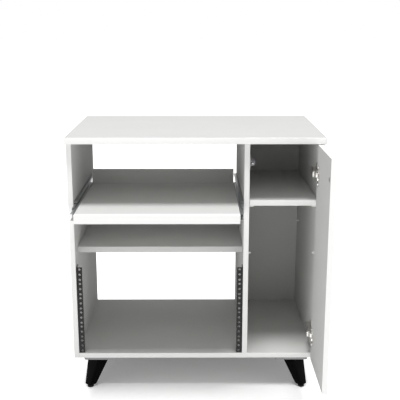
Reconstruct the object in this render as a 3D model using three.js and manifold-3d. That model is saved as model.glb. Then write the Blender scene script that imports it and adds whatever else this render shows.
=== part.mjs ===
// Studio rack stand: a white melamine cabinet for a small studio desk corner. It has a monitor top,
// a keyboard tray on ball bearing slides, a device shelf and a 19 inch rack bay on the left, and a
// cupboard with one shelf and a door on concealed hinges on the right. It stands on four splayed legs.
// Millimetres, +X right, +Y into the cabinet, +Z up. The origin lies on the floor under the middle of
// the whole object, drawn with its tray pulled out and its door open a quarter turn.
import * as THREE from "three";
import { mergeVertices } from "three/addons/utils/BufferGeometryUtils.js";
import Module from "manifold-3d";

const wasm = await Module();
wasm.setup();

// Driving dimensions
const rackBayWidth = 485;
const cupboardWidth = 195;
const boardThickness = 15;
const carcassHeight = 648;
const carcassDepth = 440;
const legHeight = 96;
const topThickness = 18;
const topSideOverhang = 1.5;
const topFrontOverhang = 21;
const topRearOverhang = 3;
const trayPulledOut = 101;
const trayTopHeight = 467;
const trayDepth = 416;
const deviceShelfHeight = 331.5;
const deviceShelfThickness = 18;
const deviceShelfSetback = 50;
const cupboardShelfDrop = 164.5; // from the carcass's top to the shelf's
const cupboardShelfHeight = carcassHeight - cupboardShelfDrop;
const cupboardShelfThickness = 16;
const doorThickness = 15;
const slideThickness = 16;
const slideLength = 400;
const hingeBottomDistance = 80;
const hingeTopDistance = 87.5;
const latchEndDistance = 58;
const rackUnitHeight = 44.45;
const rackUnits = 6;

// Fits that every piece shares
const joint = 0.2; // between boards that are screwed or glued together
const seat = 0.3; // between a fitting and what it is screwed to
const edgeBreak = 0.6; // the small chamfer of the edge banding
const overrun = 1; // how far a cutter passes the face that it cuts
const weld = 1e-4; // corners closer than this are one corner

// Places that follow from the driving dimensions
const halfWidth = (rackBayWidth + cupboardWidth + boardThickness * 3) / 2;
const leftInner = boardThickness - halfWidth;
const dividerLeft = leftInner + rackBayWidth;
const dividerRight = dividerLeft + boardThickness;
const rightInner = halfWidth - boardThickness;
const bayCentre = (leftInner + dividerLeft) / 2;
const floorTop = boardThickness;

const finishes = {
  melamine: { color: 0xf3f3f1, roughness: 0.45, metalness: 0 },
  blackPlastic: { color: 0x141414, roughness: 0.5, metalness: 0 },
  blackSteel: { color: 0x1b1c1d, roughness: 0.45, metalness: 0.3 },
  zincSteel: { color: 0xb9bcc0, roughness: 0.35, metalness: 1 },
  nickelSteel: { color: 0xd6d6d4, roughness: 0.2, metalness: 1 },
  greyPlate: { color: 0x8d8f91, roughness: 0.5, metalness: 0.4 },
  whitePlastic: { color: 0xefefec, roughness: 0.35, metalness: 0 },
  greyPlastic: { color: 0x9a9c9e, roughness: 0.45, metalness: 0 },
};

const cabinet = new THREE.Group();

// Joining and cutting

// A closed geometry as a solid, with its shared corners merged and its faces pointing out.
function toSolid(geometry) {
  const bare = geometry.clone();
  bare.deleteAttribute("normal");
  bare.deleteAttribute("uv");
  const merged = mergeVertices(bare, weld);
  return new wasm.Manifold(
    new wasm.Mesh({
      numProp: 3,
      vertProperties: merged.attributes.position.array,
      triVerts: new Uint32Array(merged.index.array),
    }),
  );
}

function toGeometry(solid) {
  const mesh = solid.getMesh();
  const geometry = new THREE.BufferGeometry();
  geometry.setAttribute("position", new THREE.BufferAttribute(mesh.vertProperties, 3));
  geometry.setIndex(new THREE.BufferAttribute(mesh.triVerts, 1));
  geometry.computeVertexNormals();
  return geometry;
}

const joined = (first, ...rest) => rest.reduce((whole, piece) => whole.add(piece), first);
const cut = (first, ...cutters) => cutters.reduce((whole, cutter) => whole.subtract(cutter), first);

// Adds one named piece to a group. The geometry is given in the group's frame, and the mesh is placed
// at the middle of it.
function addPiece(group, name, finish, solid) {
  const geometry = toGeometry(solid);
  geometry.computeBoundingBox();
  const centre = geometry.boundingBox.getCenter(new THREE.Vector3());
  geometry.translate(-centre.x, -centre.y, -centre.z);
  const mesh = new THREE.Mesh(geometry, new THREE.MeshStandardMaterial(finishes[finish]));
  mesh.name = name;
  mesh.position.copy(centre);
  group.add(mesh);
}

// Shapes

const alongX = new THREE.Vector3(1, 0, 0);
const alongY = new THREE.Vector3(0, 1, 0);
const alongZ = new THREE.Vector3(0, 0, 1);

// Where an outline's two axes and its extrusion go, for each direction that it is extruded in.
const frames = {
  x: new THREE.Matrix4().makeBasis(alongY, alongZ, alongX),
  y: new THREE.Matrix4().makeBasis(alongX, alongZ, alongY.clone().negate()),
  z: new THREE.Matrix4(),
};

function outline(points) {
  return new THREE.Shape(points.map(([a, b]) => new THREE.Vector2(a, b)));
}

// An outline carried from one place to another along X, Y or Z. Its own axes are Y and Z, X and Z, or
// X and Y.
function prism(shape, axis, from, to, curveSegments = 6) {
  const geometry = new THREE.ExtrudeGeometry(shape, {
    depth: to - from,
    bevelEnabled: false,
    curveSegments,
  });
  geometry.applyMatrix4(frames[axis]);
  if (axis === "x") geometry.translate(from, 0, 0);
  if (axis === "y") geometry.translate(0, to, 0);
  if (axis === "z") geometry.translate(0, 0, from);
  return toSolid(geometry);
}

function block([x0, x1], [y0, y1], [z0, z1]) {
  const geometry = new THREE.BoxGeometry(x1 - x0, y1 - y0, z1 - z0);
  geometry.translate((x0 + x1) / 2, (y0 + y1) / 2, (z0 + z1) / 2);
  return toSolid(geometry);
}

// A board with its edge banding broken by a small chamfer all round.
function board([x0, x1], [y0, y1], [z0, z1]) {
  const [width, depth] = [x1 - x0 - edgeBreak * 2, y1 - y0 - edgeBreak * 2];
  const plan = outline([
    [-width / 2, -depth / 2],
    [width / 2, -depth / 2],
    [width / 2, depth / 2],
    [-width / 2, depth / 2],
  ]);
  const geometry = new THREE.ExtrudeGeometry(plan, {
    depth: z1 - z0 - edgeBreak * 2,
    bevelThickness: edgeBreak,
    bevelSize: edgeBreak,
    bevelSegments: 1,
  });
  geometry.translate((x0 + x1) / 2, (y0 + y1) / 2, z0 + edgeBreak);
  return toSolid(geometry);
}

// A solid of revolution. The profile lists [radius, distance], rising along the direction.
function turned(profile, direction, [x, y, z], sides = 12) {
  const geometry = new THREE.LatheGeometry(
    profile.map(([radius, distance]) => new THREE.Vector2(radius, distance)),
    sides,
  );
  geometry.applyQuaternion(new THREE.Quaternion().setFromUnitVectors(alongY, direction));
  geometry.translate(x, y, z);
  return toSolid(geometry);
}

function rod(radius, length, direction, place, sides = 12) {
  return turned([[0, 0], [radius, 0], [radius, length], [0, length]], direction, place, sides);
}

const reversed = (direction) => direction.clone().negate();
const inwardsFrom = (towards) => (towards > 0 ? alongX : reversed(alongX));
const outwardsFrom = (towards) => (towards > 0 ? reversed(alongX) : alongX);

// Wood screws
const screwHeadRadius = 3.6;
const screwHeadHeight = 1.8;
const screwCrownRadius = 2.4;
const screwShankRadius = 1.5;
const screwLength = 10;
const screwTipLength = 2;
const pilotRadius = screwShankRadius + seat;
const screwSides = 8;

// A pan head screw whose head bears at the place and whose shank points along the direction.
function screw(direction, place, shankLength = screwLength) {
  return turned(
    [
      [0, -screwHeadHeight],
      [screwCrownRadius, -screwHeadHeight],
      [screwHeadRadius, -screwHeadHeight / 3],
      [screwHeadRadius, 0],
      [screwShankRadius, 0],
      [screwShankRadius, shankLength - screwTipLength],
      [0, shankLength],
    ],
    direction,
    place,
    screwSides,
  );
}

// The hole that a screw's shank leaves in a board, from the same place.
function pilot(direction, place, shankLength = screwLength) {
  const start = new THREE.Vector3(...place).addScaledVector(direction, -overrun);
  return rod(pilotRadius, shankLength + seat + overrun, direction, start.toArray(), screwSides);
}

// Keyboard tray slides: three steel channels a side, nested, with balls in cages between them.
// Distances named across run from the cabinet's panel towards the tray, heights from the slide's middle.
const slideHalfHeight = 17.5;
const slideSteel = 1.2;
const cageSteel = 0.8;
const ballRadius = 1.1;
const ballGap = 0.2;
const webGap = 0.9;
const ballsPerRow = 5;
const ballPitch = 24;
const slideFrontSetback = 2;
const outerChannelDepth = 11;
const middleChannelDepth = 6.5;
const ballSides = 8;
const ballRings = 5;
const slideHoleRadius = 2.6;
const slideScrewInset = 40;
const trayScrewInset = 60;
const traySlideTravel = 350;
const slideRise = 1.5; // of the slides' middle above the middle of the tray's board
const trayScrewHeight = trayTopHeight - boardThickness / 2;
const slideCentreHeight = trayScrewHeight + slideRise;

const outerFlangeInside = slideHalfHeight - slideSteel;
const outerBallHeight = outerFlangeInside - ballGap - ballRadius;
const middleHalfHeight = outerBallHeight - ballRadius - ballGap;
const middleFlangeInside = middleHalfHeight - slideSteel;
const innerBallHeight = middleFlangeInside - ballGap - ballRadius;
const innerHalfHeight = innerBallHeight - ballRadius - ballGap;
const outerCageAcross = slideSteel + webGap;
const middleAcross = outerCageAcross + cageSteel + webGap;
const innerCageAcross = middleAcross + slideSteel + webGap / 2;
const innerTipAcross = innerCageAcross + cageSteel + webGap;
const outerBallAcross = (middleAcross + outerChannelDepth - slideSteel) / 2;
const innerBallAcross = (innerTipAcross + middleAcross + middleChannelDepth) / 2;

// How far each member has moved from its place with the tray shut, for a tray pulled out by one unit.
const middleShare = 1 / 2;
const outerCageShare = 1 / 4;
const innerCageShare = 3 / 4;

const slideSides = [
  { side: "left", panel: leftInner, towards: 1 },
  { side: "right", panel: dividerLeft, towards: -1 },
];
const slideFront = slideFrontSetback;
const slideBack = slideFront + slideLength;
const slideScrewPlaces = [slideFront + slideScrewInset, slideBack - slideScrewInset];
const trayScrewPlaces = [slideFront + trayScrewInset, slideBack - trayScrewInset];

// A channel's outline: a web and two flanges, with lips that turn in where lip is given.
function channel(panel, towards, webAcross, tipAcross, halfHeight, steel, lip = 0) {
  const inward = Math.sign(tipAcross - webAcross);
  const half = [
    [webAcross, halfHeight],
    [tipAcross, halfHeight],
  ];
  const inner = lip
    ? [
        [tipAcross, halfHeight - steel - lip],
        [tipAcross - inward * steel, halfHeight - steel - lip],
        [tipAcross - inward * steel, halfHeight - steel],
      ]
    : [[tipAcross, halfHeight - steel]];
  inner.push([webAcross + inward * steel, halfHeight - steel]);
  const upper = [...half, ...inner];
  const lower = upper.map(([across, height]) => [across, -height]).reverse();
  return outline(
    [...upper, ...lower].map(([across, height]) => [
      panel + towards * across,
      slideCentreHeight + height,
    ]),
  );
}

// A ball cage: a pressed channel with a row of balls held in each flange.
function ballCage({ panel, towards }, webAcross, ballAcross, ballHeight, start) {
  const length = (ballsPerRow + 1) * ballPitch;
  const tip = ballAcross + ballRadius / 2;
  const halfHeight = ballHeight + cageSteel / 2;
  const sheet = prism(
    channel(panel, towards, webAcross, tip, halfHeight, cageSteel),
    "y",
    start,
    start + length,
  );
  const balls = [];
  for (const height of [-ballHeight, ballHeight]) {
    for (let index = 1; index <= ballsPerRow; index += 1) {
      const ball = new THREE.SphereGeometry(ballRadius, ballSides, ballRings);
      ball.translate(
        panel + towards * ballAcross,
        start + index * ballPitch,
        slideCentreHeight + height,
      );
      balls.push(toSolid(ball));
    }
  }
  return joined(sheet, ...balls);
}

// The cages start behind the middle of the closed slide, so that they stay between their channels
// over the tray's whole travel.
const cageShutStart = slideBack - (ballsPerRow + 1) * ballPitch - slideScrewInset * 2;

function addSlide(placing) {
  const { side, panel, towards } = placing;
  const inwards = inwardsFrom(towards);
  const wall = (across) => panel + towards * across;
  const shifted = (y, share) => y - trayPulledOut * share;

  const outerScrews = slideScrewPlaces.map((y) =>
    screw(reversed(inwards), [wall(seat + slideSteel), y, slideCentreHeight]));
  const outer = prism(
    channel(panel, towards, seat, outerChannelDepth, slideHalfHeight, slideSteel, slideSteel),
    "y",
    slideFront,
    slideBack,
  );
  addPiece(cabinet, `slide_outer_${side}`, "zincSteel", joined(outer, ...outerScrews));

  const holeDepth = shifted(slideBack - slideScrewInset, middleShare);
  const lighteningHole = rod(
    slideHoleRadius,
    slideSteel + overrun * 2,
    inwards,
    [wall(middleAcross - overrun), holeDepth, slideCentreHeight],
  );
  const middleTipAcross = middleAcross + middleChannelDepth;
  const middle = prism(
    channel(panel, towards, middleAcross, middleTipAcross, middleHalfHeight, slideSteel),
    "y",
    shifted(slideFront, middleShare),
    shifted(slideBack, middleShare),
  );
  addPiece(cabinet, `slide_middle_${side}`, "zincSteel", cut(middle, lighteningHole));

  const inner = prism(
    channel(panel, towards, slideThickness - seat, innerTipAcross, innerHalfHeight, slideSteel),
    "y",
    shifted(slideFront, 1),
    shifted(slideBack, 1),
  );
  const innerScrews = trayScrewPlaces.map((y) =>
    screw(inwards, [wall(slideThickness - seat - slideSteel), shifted(y, 1), trayScrewHeight]));
  addPiece(cabinet, `slide_inner_${side}`, "zincSteel", joined(inner, ...innerScrews));

  const outerStart = shifted(cageShutStart, outerCageShare);
  const innerStart = shifted(cageShutStart, innerCageShare);
  addPiece(
    cabinet,
    `ball_cage_outer_${side}`,
    "nickelSteel",
    ballCage(placing, outerCageAcross, outerBallAcross, outerBallHeight, outerStart),
  );
  addPiece(
    cabinet,
    `ball_cage_inner_${side}`,
    "nickelSteel",
    ballCage(placing, innerCageAcross, innerBallAcross, innerBallHeight, innerStart),
  );
}

slideSides.forEach(addSlide);

// Keyboard tray: a board with a deeper front and a raised lip behind
const trayFrontHeight = 25;
const trayLipRise = 45;
const trayHalfWidth = rackBayWidth / 2 - slideThickness;
const trayFrontFace = -trayPulledOut;
const trayBack = trayFrontFace + trayDepth;
const trayAcross = [bayCentre - trayHalfWidth, bayCentre + trayHalfWidth];
const trayUnderside = trayTopHeight - boardThickness;

const trayPilots = slideSides.flatMap(({ panel, towards }) =>
  trayScrewPlaces.map((y) =>
    pilot(
      inwardsFrom(towards),
      [panel + towards * slideThickness, y - trayPulledOut, trayScrewHeight],
    )),
);
addPiece(
  cabinet,
  "tray_board",
  "melamine",
  cut(
    board(
      trayAcross,
      [trayFrontFace + boardThickness + joint, trayBack - boardThickness - joint],
      [trayUnderside, trayTopHeight],
    ),
    ...trayPilots,
  ),
);
addPiece(
  cabinet,
  "tray_front",
  "melamine",
  board(
    trayAcross,
    [trayFrontFace, trayFrontFace + boardThickness],
    [trayTopHeight - trayFrontHeight, trayTopHeight],
  ),
);
addPiece(
  cabinet,
  "tray_rear_lip",
  "melamine",
  board(
    trayAcross,
    [trayBack - boardThickness, trayBack],
    [trayUnderside, trayTopHeight + trayLipRise],
  ),
);

// Rack rails: steel angles with three holes to the rack unit
const railSteel = 2;
const railDepth = 30;
const railFaceSetback = 3;
const rackOpening = 450;
const rackHoleSpacing = 465.1;
const rackHoleRadius = 3.5;
const rackHoleSides = 8;
const rackHoleFoot = 6.35; // of each unit's lowest hole above the unit's foot
const rackHolePitch = 15.875;
const rackHolesPerUnit = 3;
const railRise = 1; // above the bay's floor
const railScrewInset = 35;
const railScrewBackInset = 10;
const railFaceWidth = (rackBayWidth - rackOpening) / 2;
const railHoleAcross = (rackBayWidth - rackHoleSpacing) / 2;
const railBottom = floorTop + railRise;
const railTop = railBottom + rackUnitHeight * rackUnits;
const railScrewDepth = railFaceSetback + railDepth - railScrewBackInset;
const railScrewHeights = [railBottom + railScrewInset, railTop - railScrewInset];

function addRail({ side, panel, towards }) {
  const wall = (across) => panel + towards * across;
  const inwards = inwardsFrom(towards);
  const angle = outline([
    [wall(seat), railFaceSetback],
    [wall(railFaceWidth), railFaceSetback],
    [wall(railFaceWidth), railFaceSetback + railSteel],
    [wall(seat + railSteel), railFaceSetback + railSteel],
    [wall(seat + railSteel), railFaceSetback + railDepth],
    [wall(seat), railFaceSetback + railDepth],
  ]);
  const holes = [];
  for (let unit = 0; unit < rackUnits; unit += 1) {
    for (let hole = 0; hole < rackHolesPerUnit; hole += 1) {
      const z = railBottom + unit * rackUnitHeight + rackHoleFoot + hole * rackHolePitch;
      const start = [wall(railHoleAcross), railFaceSetback - overrun, z];
      holes.push(rod(rackHoleRadius, railSteel + overrun * 2, alongY, start, rackHoleSides));
    }
  }
  for (const z of railScrewHeights) {
    const start = [wall(seat - overrun), railScrewDepth, z];
    holes.push(rod(pilotRadius, railSteel + overrun * 2, inwards, start, screwSides));
  }
  const rail = cut(prism(angle, "z", railBottom, railTop), ...holes);
  addPiece(cabinet, `rack_rail_${side}`, "blackSteel", rail);
  ["lower", "upper"].forEach((level, index) => {
    const place = [wall(seat * 2 + railSteel), railScrewDepth, railScrewHeights[index]];
    addPiece(cabinet, `rail_screw_${side}_${level}`, "blackSteel", screw(reversed(inwards), place));
  });
}
slideSides.forEach(addRail);

// Cupboard shelf supports: a plastic bracket under each corner of the shelf, and a spare pin below it
const pinRadius = 2.5;
const pinDepth = 8;
const pinReach = 8;
const pinFrontInset = 30;
const pinRearInset = 45;
const bracketReach = 15;
const bracketWidth = 12;
const bracketThickness = 3;
const bracketWallHeight = 9;
const sparePinDrop = 144;
const shelfUnderside = cupboardShelfHeight - cupboardShelfThickness;
const bracketTop = shelfUnderside - seat;
const pinHeight = bracketTop - bracketWallHeight / 2;
const cupboardBackInset = 10;
const cupboardBack = carcassDepth - cupboardBackInset;
const pinDepths = { front: pinFrontInset, rear: cupboardBack - pinRearInset };
const pinSides = [
  { side: "left", panel: dividerRight, towards: 1 },
  { side: "right", panel: rightInner, towards: -1 },
];

function addPins({ side, panel, towards }) {
  const inwards = inwardsFrom(towards);
  const wall = (across) => panel + towards * across;
  for (const [row, y] of Object.entries(pinDepths)) {
    const angle = outline([
      [wall(seat), bracketTop],
      [wall(bracketReach), bracketTop],
      [wall(bracketReach), bracketTop - bracketThickness],
      [wall(seat + bracketThickness), bracketTop - bracketThickness],
      [wall(seat + bracketThickness), bracketTop - bracketWallHeight],
      [wall(seat), bracketTop - bracketWallHeight],
    ]);
    const bracket = prism(angle, "y", y - bracketWidth / 2, y + bracketWidth / 2);
    const peg = rod(pinRadius, pinDepth + bracketThickness / 2, inwards, [wall(-pinDepth), y, pinHeight]);
    addPiece(cabinet, `shelf_bracket_${row}_${side}`, "whitePlastic", joined(bracket, peg));
    addPiece(
      cabinet,
      `spare_pin_${row}_${side}`,
      "whitePlastic",
      rod(pinRadius, pinDepth + pinReach, inwards, [wall(-pinDepth), y, pinHeight - sparePinDrop]),
    );
  }
}
pinSides.forEach(addPins);

function pinHoles({ panel, towards }) {
  const outwards = outwardsFrom(towards);
  return Object.values(pinDepths).flatMap((y) =>
    [pinHeight, pinHeight - sparePinDrop].map((z) =>
      rod(pinRadius + seat, pinDepth + seat + overrun, outwards, [panel + towards * overrun, y, z])));
}

// Door and its concealed hinges. The door is drawn shut in a group that stands on the hinges' axis,
// and the group is then turned open by a quarter turn.
const doorGap = 2; // between the shut door and the panels' front edges
const doorLowerGap = 1;
const doorUpperGap = 2;
const doorSideInset = 0.5;
const axisInset = 6.5; // from the door's hinge edge
const axisAhead = 0.75; // in front of the shut door's outer face
const doorOpen = Math.PI / 2;
const doorInner = -doorGap;
const doorOuter = -doorGap - doorThickness;
const doorHingeEdge = halfWidth - doorSideInset;
const doorFreeEdge = dividerLeft + boardThickness / 2;
const axisX = doorHingeEdge - axisInset;
const axisY = doorOuter - axisAhead;
const doorBottom = doorLowerGap;
const doorTop = carcassHeight - doorUpperGap;
const hingeHeights = { lower: hingeBottomDistance, upper: carcassHeight - hingeTopDistance };

const door = new THREE.Group();
door.position.set(axisX, axisY, 0);
door.rotation.z = doorOpen;
cabinet.add(door);
const fromAxis = ([x, y, z]) => [x - axisX, y - axisY, z];

const cupRadius = 17.5;
const cupDepth = 11.5;
const cupWall = 0.9;
const cupEdgeDistance = 22.5;
const cupFlangeThickness = 1.2;
const cupFlangeReach = 1;
const cupFlangeHalfLength = 30;
const cupFlangeHalfWidth = 9;
const cupScrewSpacing = 48;
const cupSides = 32;
const cupScrewLength = 9;
const cupCentreX = doorHingeEdge - cupEdgeDistance;
const flangeBase = doorInner + seat;
const flangeTop = flangeBase + cupFlangeThickness;

// The pressed cup with its screw flange, for a hinge at the height z.
function hingeCup(z) {
  const well = turned(
    [
      [0, -cupDepth],
      [cupRadius, -cupDepth],
      [cupRadius, 0],
      [0, 0],
    ],
    alongY,
    fromAxis([cupCentreX, flangeBase, z]),
    cupSides,
  );
  const rim = rod(
    cupRadius + cupFlangeReach,
    cupFlangeThickness,
    alongY,
    fromAxis([cupCentreX, flangeBase, z]),
    cupSides,
  );
  const wing = new THREE.Shape();
  const wingX = cupCentreX - axisX;
  const wingRise = cupFlangeHalfLength - cupFlangeHalfWidth;
  wing.absarc(wingX, z + wingRise, cupFlangeHalfWidth, 0, Math.PI);
  wing.absarc(wingX, z - wingRise, cupFlangeHalfWidth, Math.PI, 0);
  const flange = prism(wing, "y", flangeBase - axisY, flangeTop - axisY);
  const bore = rod(
    cupRadius - cupWall,
    cupDepth - cupWall + cupFlangeThickness + overrun,
    alongY,
    fromAxis([cupCentreX, flangeBase - cupDepth + cupWall, z]),
    cupSides,
  );
  const screws = [-1, 1].map((end) =>
    screw(
      reversed(alongY),
      fromAxis([cupCentreX, flangeTop - seat, z + (end * cupScrewSpacing) / 2]),
      cupScrewLength,
    ));
  return joined(cut(joined(well, rim, flange), bore), ...screws);
}

const cupBores = Object.values(hingeHeights).flatMap((z) => [
  rod(
    cupRadius + seat,
    cupDepth + seat + overrun,
    reversed(alongY),
    fromAxis([cupCentreX, doorInner + overrun, z]),
    cupSides,
  ),
  ...[-1, 1].map((end) =>
    pilot(
      reversed(alongY),
      fromAxis([cupCentreX, doorInner, z + (end * cupScrewSpacing) / 2]),
      cupScrewLength,
    )),
]);

// Touch latch: a sprung magnetic plunger on the divider, and its steel disc on the door
const latchHeight = carcassHeight - latchEndDistance;
const latchAcross = 8; // from the divider to the plunger's axis
const latchBodyRadius = 7;
const latchBodyFront = 4;
const latchBodyLength = 62;
const latchBaseWidth = 30;
const latchBaseThickness = 2.5;
const plungerRadius = 4;
const plungerGuide = 0.4;
const plungerLength = 42;
const plungerTravel = 4;
const magnetRadius = 3;
const strikeRadius = 6;
const strikeThickness = 1.2;
const strikeSides = 16;
const latchSides = 16;
const plungerRearRoom = 2;
const latchScrewInset = 11;
const latchX = dividerRight + latchAcross;
const strikeTop = doorInner + seat + strikeThickness;
const plungerFront = strikeTop + seat;
const latchBack = latchBodyFront + latchBodyLength;
const latchBoreFront = latchBodyFront - overrun;
const latchBoreBack = plungerFront + plungerLength + plungerTravel + plungerRearRoom;

const strikePlace = fromAxis([latchX, doorInner + seat, latchHeight]);
const strikeScrewPlace = fromAxis([latchX, strikeTop - seat, latchHeight]);
const strikeScrewLength = 9;
addPiece(
  door,
  "door_panel",
  "melamine",
  cut(
    board(
      [doorFreeEdge - axisX, doorHingeEdge - axisX],
      [doorOuter - axisY, doorInner - axisY],
      [doorBottom, doorTop],
    ),
    ...cupBores,
    pilot(reversed(alongY), fromAxis([latchX, doorInner, latchHeight]), strikeScrewLength),
  ),
);
for (const [level, z] of Object.entries(hingeHeights)) {
  addPiece(door, `hinge_cup_${level}`, "nickelSteel", hingeCup(z));
}
// The strike's screw is countersunk, so that the disc stays flat for the plunger.
addPiece(
  door,
  "latch_strike",
  "nickelSteel",
  joined(
    rod(strikeRadius, strikeThickness, alongY, strikePlace, strikeSides),
    rod(
      screwShankRadius,
      strikeScrewLength - seat,
      reversed(alongY),
      strikeScrewPlace,
      screwSides,
    ),
  ),
);

const latchBase = block(
  [dividerRight + seat, dividerRight + seat + latchBaseThickness],
  [latchBodyFront, latchBack],
  [latchHeight - latchBaseWidth / 2, latchHeight + latchBaseWidth / 2],
);
const latchBarrel = rod(
  latchBodyRadius,
  latchBodyLength,
  alongY,
  [latchX, latchBodyFront, latchHeight],
  latchSides,
);
const latchSaddle = block(
  [dividerRight + seat, latchX],
  [latchBodyFront, latchBack],
  [latchHeight - latchBodyRadius, latchHeight + latchBodyRadius],
);
const latchBore = rod(
  plungerRadius + plungerGuide,
  latchBoreBack - latchBoreFront,
  alongY,
  [latchX, latchBoreFront, latchHeight],
  latchSides,
);
const latchScrewDepths = [latchBodyFront + latchScrewInset, latchBack - latchScrewInset];
const latchScrewHeight = latchHeight - (latchBodyRadius + latchBaseWidth / 2) / 2;
const latchScrews = latchScrewDepths.map((y) =>
  screw(reversed(alongX), [dividerRight + seat + latchBaseThickness, y, latchScrewHeight]));
addPiece(
  cabinet,
  "latch_body",
  "greyPlastic",
  joined(cut(joined(latchBase, latchBarrel, latchSaddle), latchBore), ...latchScrews),
);
addPiece(
  cabinet,
  "latch_plunger",
  "blackPlastic",
  turned(
    [
      [0, 0],
      [magnetRadius, 0],
      [magnetRadius, overrun],
      [plungerRadius, overrun],
      [plungerRadius, plungerLength],
      [0, plungerLength],
    ],
    alongY,
    [latchX, plungerFront, latchHeight],
    latchSides,
  ),
);

// Hinge arms and mounting plates on the right panel. The arm is a pressed channel, open towards the
// panel, that reaches into the cup; the link turns on the arm's pin and hooks round the door's edge.
const plateWingDepths = [28, 46];
const plateWingHalfLength = 25;
const plateWingThickness = 2;
const plateRailDepths = [20, 62];
const plateRailHalfHeight = 5.2;
const plateRailHeight = 11;
const plateScrewSpacing = 32;
const armSheet = 1.5;
const armHalfHeight = 8.1;
const armRear = 66;
const armFront = -10.5;
const armWebAcross = 14.5; // from the panel to the outside of the web, over the plate
const armWebFrontAcross = 20.5; // the same at the front
const armWallAcross = 2.5;
const armFrontWallAcross = 8;
const armNeckDepth = 18; // where the channel starts to widen forwards
const armNoseDepth = 6;
const linkPinAcross = 12.5;
const linkPinDepth = -7;
const linkPinRadius = 1.2;
const linkEyeRadius = 2.8;
const linkClearance = 0.4; // to the arm's front lip
const linkHalfHeight = 6.2;
const linkThickness = 2;
const linkHookDrop = 13;
const linkHookReach = 5;
const linkHookLean = -Math.PI / 10; // of the hook's end, from straight across
const linkPinX = rightInner - linkPinAcross;

function armOutline(inset) {
  const wall = (across) => rightInner - across;
  return outline([
    [wall(armWebFrontAcross - inset), armFront - (inset ? overrun : 0)],
    [wall(armFrontWallAcross) + (inset ? overrun : 0), armFront - (inset ? overrun : 0)],
    [wall(armFrontWallAcross) + (inset ? overrun : 0), armNoseDepth],
    [wall(armWallAcross) + (inset ? overrun : 0), armNeckDepth],
    [wall(armWallAcross) + (inset ? overrun : 0), armRear + (inset ? overrun : 0)],
    [wall(armWebAcross - inset), armRear + (inset ? overrun : 0)],
    [wall(armWebAcross - inset), armNeckDepth],
    [wall(armWebFrontAcross - inset), armNoseDepth],
  ]);
}

function addHinge([level, z]) {
  const wall = (across) => rightInner - across;
  const plateWing = new THREE.Shape();
  const wingMiddle = (plateWingDepths[0] + plateWingDepths[1]) / 2;
  const wingHalf = (plateWingDepths[1] - plateWingDepths[0]) / 2;
  plateWing.absarc(wingMiddle, z + plateWingHalfLength - wingHalf, wingHalf, 0, Math.PI);
  plateWing.absarc(wingMiddle, z - plateWingHalfLength + wingHalf, wingHalf, Math.PI, 0);
  const wing = prism(plateWing, "x", wall(seat + plateWingThickness), wall(seat));
  const rail = block(
    [wall(plateRailHeight), wall(seat)],
    plateRailDepths,
    [z - plateRailHalfHeight, z + plateRailHalfHeight],
  );
  const plateScrews = [-1, 1].map((end) =>
    screw(alongX, [wall(seat + plateWingThickness), wingMiddle, z + (end * plateScrewSpacing) / 2]));
  addPiece(cabinet, `hinge_plate_${level}`, "nickelSteel", joined(wing, rail, ...plateScrews));

  const shell = prism(armOutline(0), "z", z - armHalfHeight, z + armHalfHeight);
  const hollow = prism(
    armOutline(armSheet),
    "z",
    z - armHalfHeight + armSheet,
    z + armHalfHeight - armSheet,
  );
  const pin = rod(
    linkPinRadius,
    armHalfHeight * 2 - armSheet,
    alongZ,
    [linkPinX, linkPinDepth, z - armHalfHeight + armSheet / 2],
  );
  const lip = block(
    [wall(armWebFrontAcross), linkPinX - linkEyeRadius - linkClearance],
    [armFront, armFront + armSheet],
    [z - armHalfHeight, z + armHalfHeight],
  );
  addPiece(cabinet, `hinge_arm_${level}`, "nickelSteel", joined(cut(shell, hollow), pin, lip));

  const half = linkThickness / 2;
  const levels = [z - linkHalfHeight, z + linkHalfHeight];
  const post = (radius, [x, y]) => rod(radius, linkHalfHeight * 2, alongZ, [x, y, levels[0]]);
  const elbow = [linkPinX, linkPinDepth - linkHookDrop];
  const [leanX, leanY] = [Math.cos(linkHookLean), Math.sin(linkHookLean)];
  const tip = [elbow[0] + linkHookReach * leanX, elbow[1] + linkHookReach * leanY];
  const foot = outline([
    [elbow[0] - half * leanY, elbow[1] + half * leanX],
    [elbow[0] + half * leanY, elbow[1] - half * leanX],
    [tip[0] + half * leanY, tip[1] - half * leanX],
    [tip[0] - half * leanY, tip[1] + half * leanX],
  ]);
  const hook = joined(
    post(linkEyeRadius, [linkPinX, linkPinDepth]),
    block([linkPinX - half, linkPinX + half], [elbow[1], linkPinDepth], levels),
    post(half, elbow),
    prism(foot, "z", ...levels),
    post(half, tip),
  );
  const eyeBore = rod(
    linkPinRadius + seat,
    (linkHalfHeight + overrun) * 2,
    alongZ,
    [linkPinX, linkPinDepth, z - linkHalfHeight - overrun],
  );
  addPiece(cabinet, `hinge_link_${level}`, "nickelSteel", cut(hook, eyeBore));
}
Object.entries(hingeHeights).forEach(addHinge);

const hingePilots = Object.values(hingeHeights).flatMap((z) =>
  [-1, 1].map((end) =>
    pilot(
      alongX,
      [rightInner, (plateWingDepths[0] + plateWingDepths[1]) / 2, z + (end * plateScrewSpacing) / 2],
      screwLength - plateWingThickness,
    )),
);

// Legs: a square plate under each corner of the carcass, a tapered leg of square section turned
// corner to the front and splayed outwards, and a round glide
const legPlateWidth = 97.5;
const legPlateThickness = 8;
const legPlateSideInset = 28.5; // from the carcass's side
const legPlateFrontInset = 3;
const legTopDiagonal = 66;
const legFootDiagonal = 34;
const legCornerBreak = 1;
const glideRadius = 9.5;
const glideHeight = 8;
const glideSides = 16;
const legTopSideInset = 70.25; // from the carcass's side to the leg's middle
const legTopFrontInset = 36;
const legFootSideInset = 44.5;
const legFootFrontInset = 9;
const legRearInset = 5; // how much further in the rear legs stand than the front ones
const legScrewSpacing = 80;
const legScrewLength = 20;
const legTop = -joint - legPlateThickness;
const legFoot = glideHeight - legHeight;

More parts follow.
